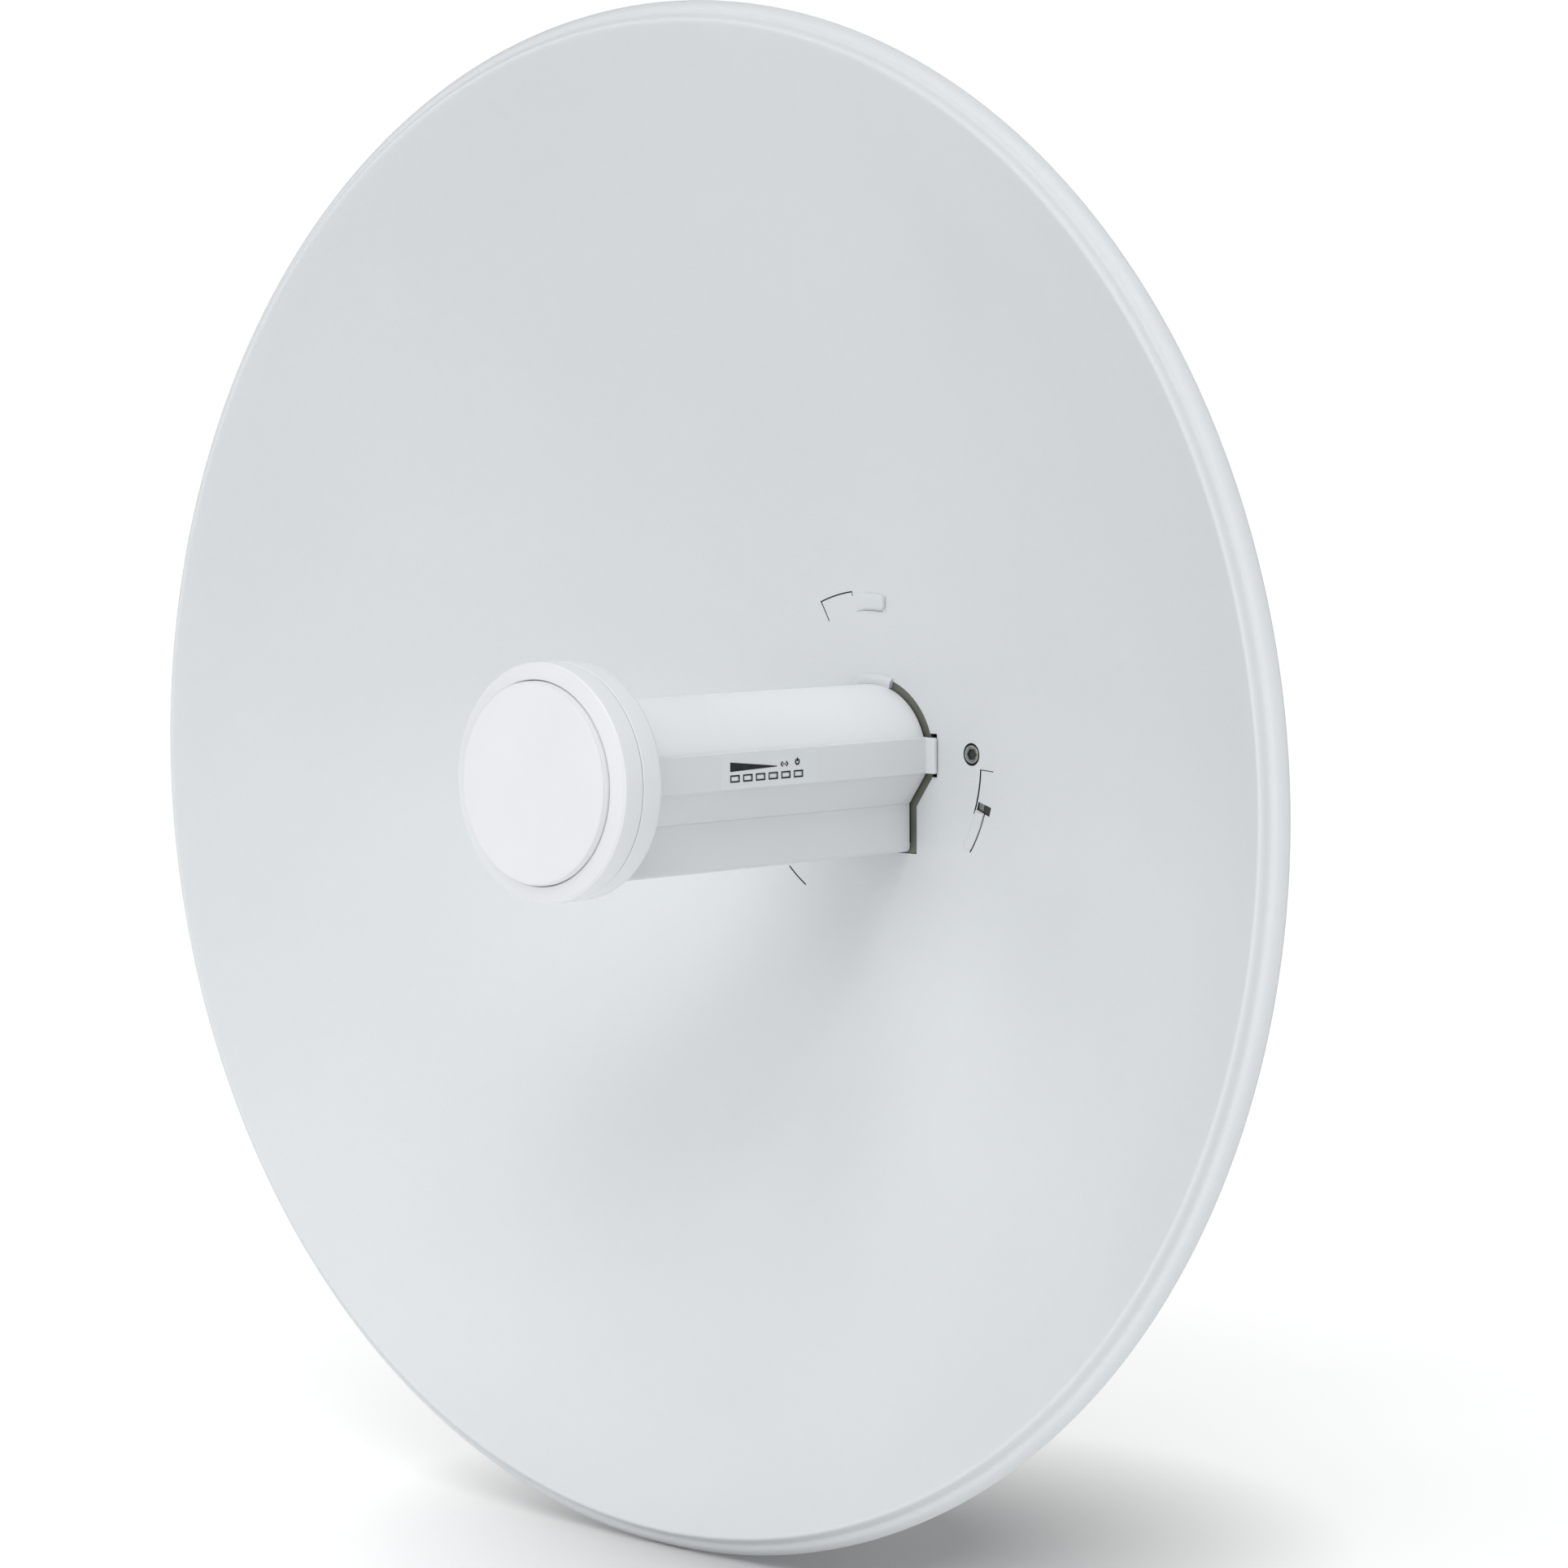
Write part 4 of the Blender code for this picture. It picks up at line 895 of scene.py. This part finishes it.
def finish_cad():
    """Gives each remaining CAD node its finish, and softens the edges of those in sight."""
    finishes = {
        GALVANISED: ("pole_bracket", "clamp_jaw", "tilt_bracket"),
        STEEL: (
            "carriage_bolt_left", "carriage_bolt_right", "clamp_washer_left", "clamp_washer_right",
            "clamp_nut_left", "clamp_nut_right", "pivot_bolt", "pivot_nut", "lock_bolt", "lock_nut",
            "bracket_screw_1", "bracket_screw_2", "bracket_screw_3", "bracket_screw_4",
            "shell_screw_1", "shell_screw_2",
        ),
        HOUSING: ("rear_housing", "port_door"),
        BUTTON: ("release_button", "reset_button", "ethernet_transformer"),
        OLIVE_GAP_SHADE: ("feed_spigot",),
        RUBBER: ("head_seal",),
        BOARD: ("main_board", "radiator_board"),
        TIN: (
            "subreflector", "radio_shield", "processor_shield", "heat_spreader", "rj45_jack",
            "rf_pigtail_left", "rf_pigtail_right",
        ),
    }
    softened = {
        0.0005: ("rear_housing",),
        0.0004: (
            "pole_bracket", "clamp_jaw", "tilt_bracket", "pivot_bolt", "lock_bolt", "pivot_nut",
            "lock_nut", "clamp_nut_left", "clamp_nut_right",
        ),
        0.0003: (
            "port_door", "bracket_screw_1", "bracket_screw_2", "bracket_screw_3", "bracket_screw_4",
        ),
        0.0002: ("carriage_bolt_left", "carriage_bolt_right"),
    }
    bevels = {name: width for width, names in softened.items() for name in names}
    slots = {entry["node"]: entry["material_slot"] for entry in frame["record"]["subparts"]}
    bodies = frame["record"]["behaviour"]["bodies"]
    home = {name: body for body, names in bodies.items() for name in names}
    for look, names in finishes.items():
        for name in names:
            if name in bevels:
                dressed(name, home[name], look, slots[name], bevels[name])
            else:
                paint(frame["nodes"][name], look)


# ------------------------------------------------------------------ camera, light and floor

LENS, SENSOR = 102.56, 36.0
AZIMUTH, ELEVATION, ROLL = (math.radians(angle) for angle in (43.1327, 4.4011, -0.2818))
CAMERA_AT = (1.0526, RIM_Y - 1.0638, 0.1149)
FLOOR_HALF, FLOOR_GAP = 12.0, 0.0002
FILL, WHITE = 0.18, 1.02
LIGHTS = (
    # name, direction towards the light, its angle across in degrees, strength
    ("overhead_light", (0, 0, 1), 90, 0.60),
    ("front_light", (0, -1, 0.25), 70, 0.30),
    ("level_light", (0, -1, 0.02), 40, 0.60),
    ("key_light", (0.1, -0.6, 0.8), 40, 0.92),
    ("right_light", (0.5, -0.5, 0.72), 30, 0.56),
    ("left_light", (-0.6, -0.72, 0.32), 35, 0.35),
    ("side_light", (1.0, -0.25, 0.3), 70, 0.20),
    ("back_light", (0.3, 0.8, 0.7), 70, 0.44),
)
# The floor's painted glow and its painted shadow: the unlit spot's place, and the distances from it
# where the glow starts and is full.
SHADOW_SPOT_AT, PAINTED_FLOOR_GLOW, SHADOW_SPOT_EDGES = (0.03, -0.19), 0.52, (0.05, 0.185)


def make_camera():
    """The photograph's camera: its place, its angles and a slight roll."""
    data = bpy.data.cameras.new("camera")
    data.sensor_width = SENSOR
    data.lens = LENS
    data.clip_start, data.clip_end = 0.05, 60.0
    camera = bpy.data.objects.new("camera", data)
    level = math.cos(ELEVATION)
    look = Vector((-math.sin(AZIMUTH) * level, math.cos(AZIMUTH) * level, -math.sin(ELEVATION)))
    flat_right = Vector((math.cos(AZIMUTH), math.sin(AZIMUTH), 0.0))
    plumb_up = flat_right.cross(look)
    right = math.cos(ROLL) * flat_right + math.sin(ROLL) * plumb_up
    up = math.cos(ROLL) * plumb_up - math.sin(ROLL) * flat_right
    rows = [(*pair, at) for *pair, at in zip(right, up, -look, CAMERA_AT)]
    camera.matrix_world = Matrix((*rows, (0, 0, 0, 1)))
    bpy.context.scene.collection.objects.link(camera)
    bpy.context.scene.camera = camera


def make_lights():
    """Broad soft lamps from the directions listed."""
    bpy.context.scene.view_settings.view_transform = "Standard"
    for name, towards, angle, strength in LIGHTS:
        light = bpy.data.lights.new(name, "SUN")
        light.angle = math.radians(angle)
        light.energy = strength
        made = bpy.data.objects.new(name, light)
        made.rotation_euler = Vector(towards).to_track_quat("Z", "Y").to_euler()
        bpy.context.scene.collection.objects.link(made)


def make_floor():
    """A pale floor just under the dish. It glows with painted light, except softly round where the
    dish stands, which paints the dish's shadow.
    """
    look = Look("floor_glow_and_painted_shadow", Emission_Color=(1.0, 1.0, 1.0, 1.0))
    fine = look.noise(300.0)
    shadow_spot = (*SHADOW_SPOT_AT, DISH_LOW.z)
    away = look.node("ShaderNodeVectorMath", {0: look.where, 1: shadow_spot}, operation="DISTANCE")
    look.set(
        Base_Color=look.ramp(look.noise(3.0, 4.0), (0.62, 0.62, 0.62), (0.64, 0.64, 0.64)),
        Roughness=look.span(fine, 0.55, 0.65),
        Normal=look.bump(fine, 0.00005),
        Emission_Strength=look.span(away.outputs["Value"], 0.0, PAINTED_FLOOR_GLOW, *SHADOW_SPOT_EDGES),
    )
    level = DISH_LOW.z - FLOOR_GAP
    corners = rectangle(-FLOOR_HALF, FLOOR_HALF, -FLOOR_HALF, FLOOR_HALF)
    ground = piece("floor", [(x, y, level) for x, y in corners], [[0, 1, 2, 3]])
    paint(ground, look.material)


def make_world():
    """An even fill from all round, in front of a white background."""
    world = bpy.data.worlds.new("studio")
    world.use_nodes = True
    bpy.context.scene.world = world
    nodes, links = world.node_tree.nodes, world.node_tree.links
    lit = nodes["Background"]
    lit.inputs["Strength"].default_value = FILL
    lit.inputs["Color"].default_value = (0.985, 0.995, 1.0, 1.0)
    shown = nodes.new("ShaderNodeBackground")
    shown.inputs["Color"].default_value = (1.0, 1.0, 1.0, 1.0)
    shown.inputs["Strength"].default_value = WHITE
    mix = nodes.new("ShaderNodeMixShader")
    path = nodes.new("ShaderNodeLightPath")
    links.new(path.outputs["Is Camera Ray"], mix.inputs["Fac"])
    links.new(lit.outputs[0], mix.inputs[1])
    links.new(shown.outputs[0], mix.inputs[2])
    links.new(mix.outputs[0], nodes["World Output"].inputs["Surface"])


make_reflector()
make_strap("upper_strap", (0.0516, 0.0577), 96.9, 81.7, -0.0001, 0.0011, 0.88)
make_strap("right_strap", (0.0512, 0.0557), -18.8, -34.5, 0.0008, 0.0003, 0.90)
make_tongue()
make_key_bump()
make_lock_screw()
make_feed_head()
make_tube()
make_rail()
make_label()
finish_cad()
make_camera()
make_floor()
make_world()
make_lights()
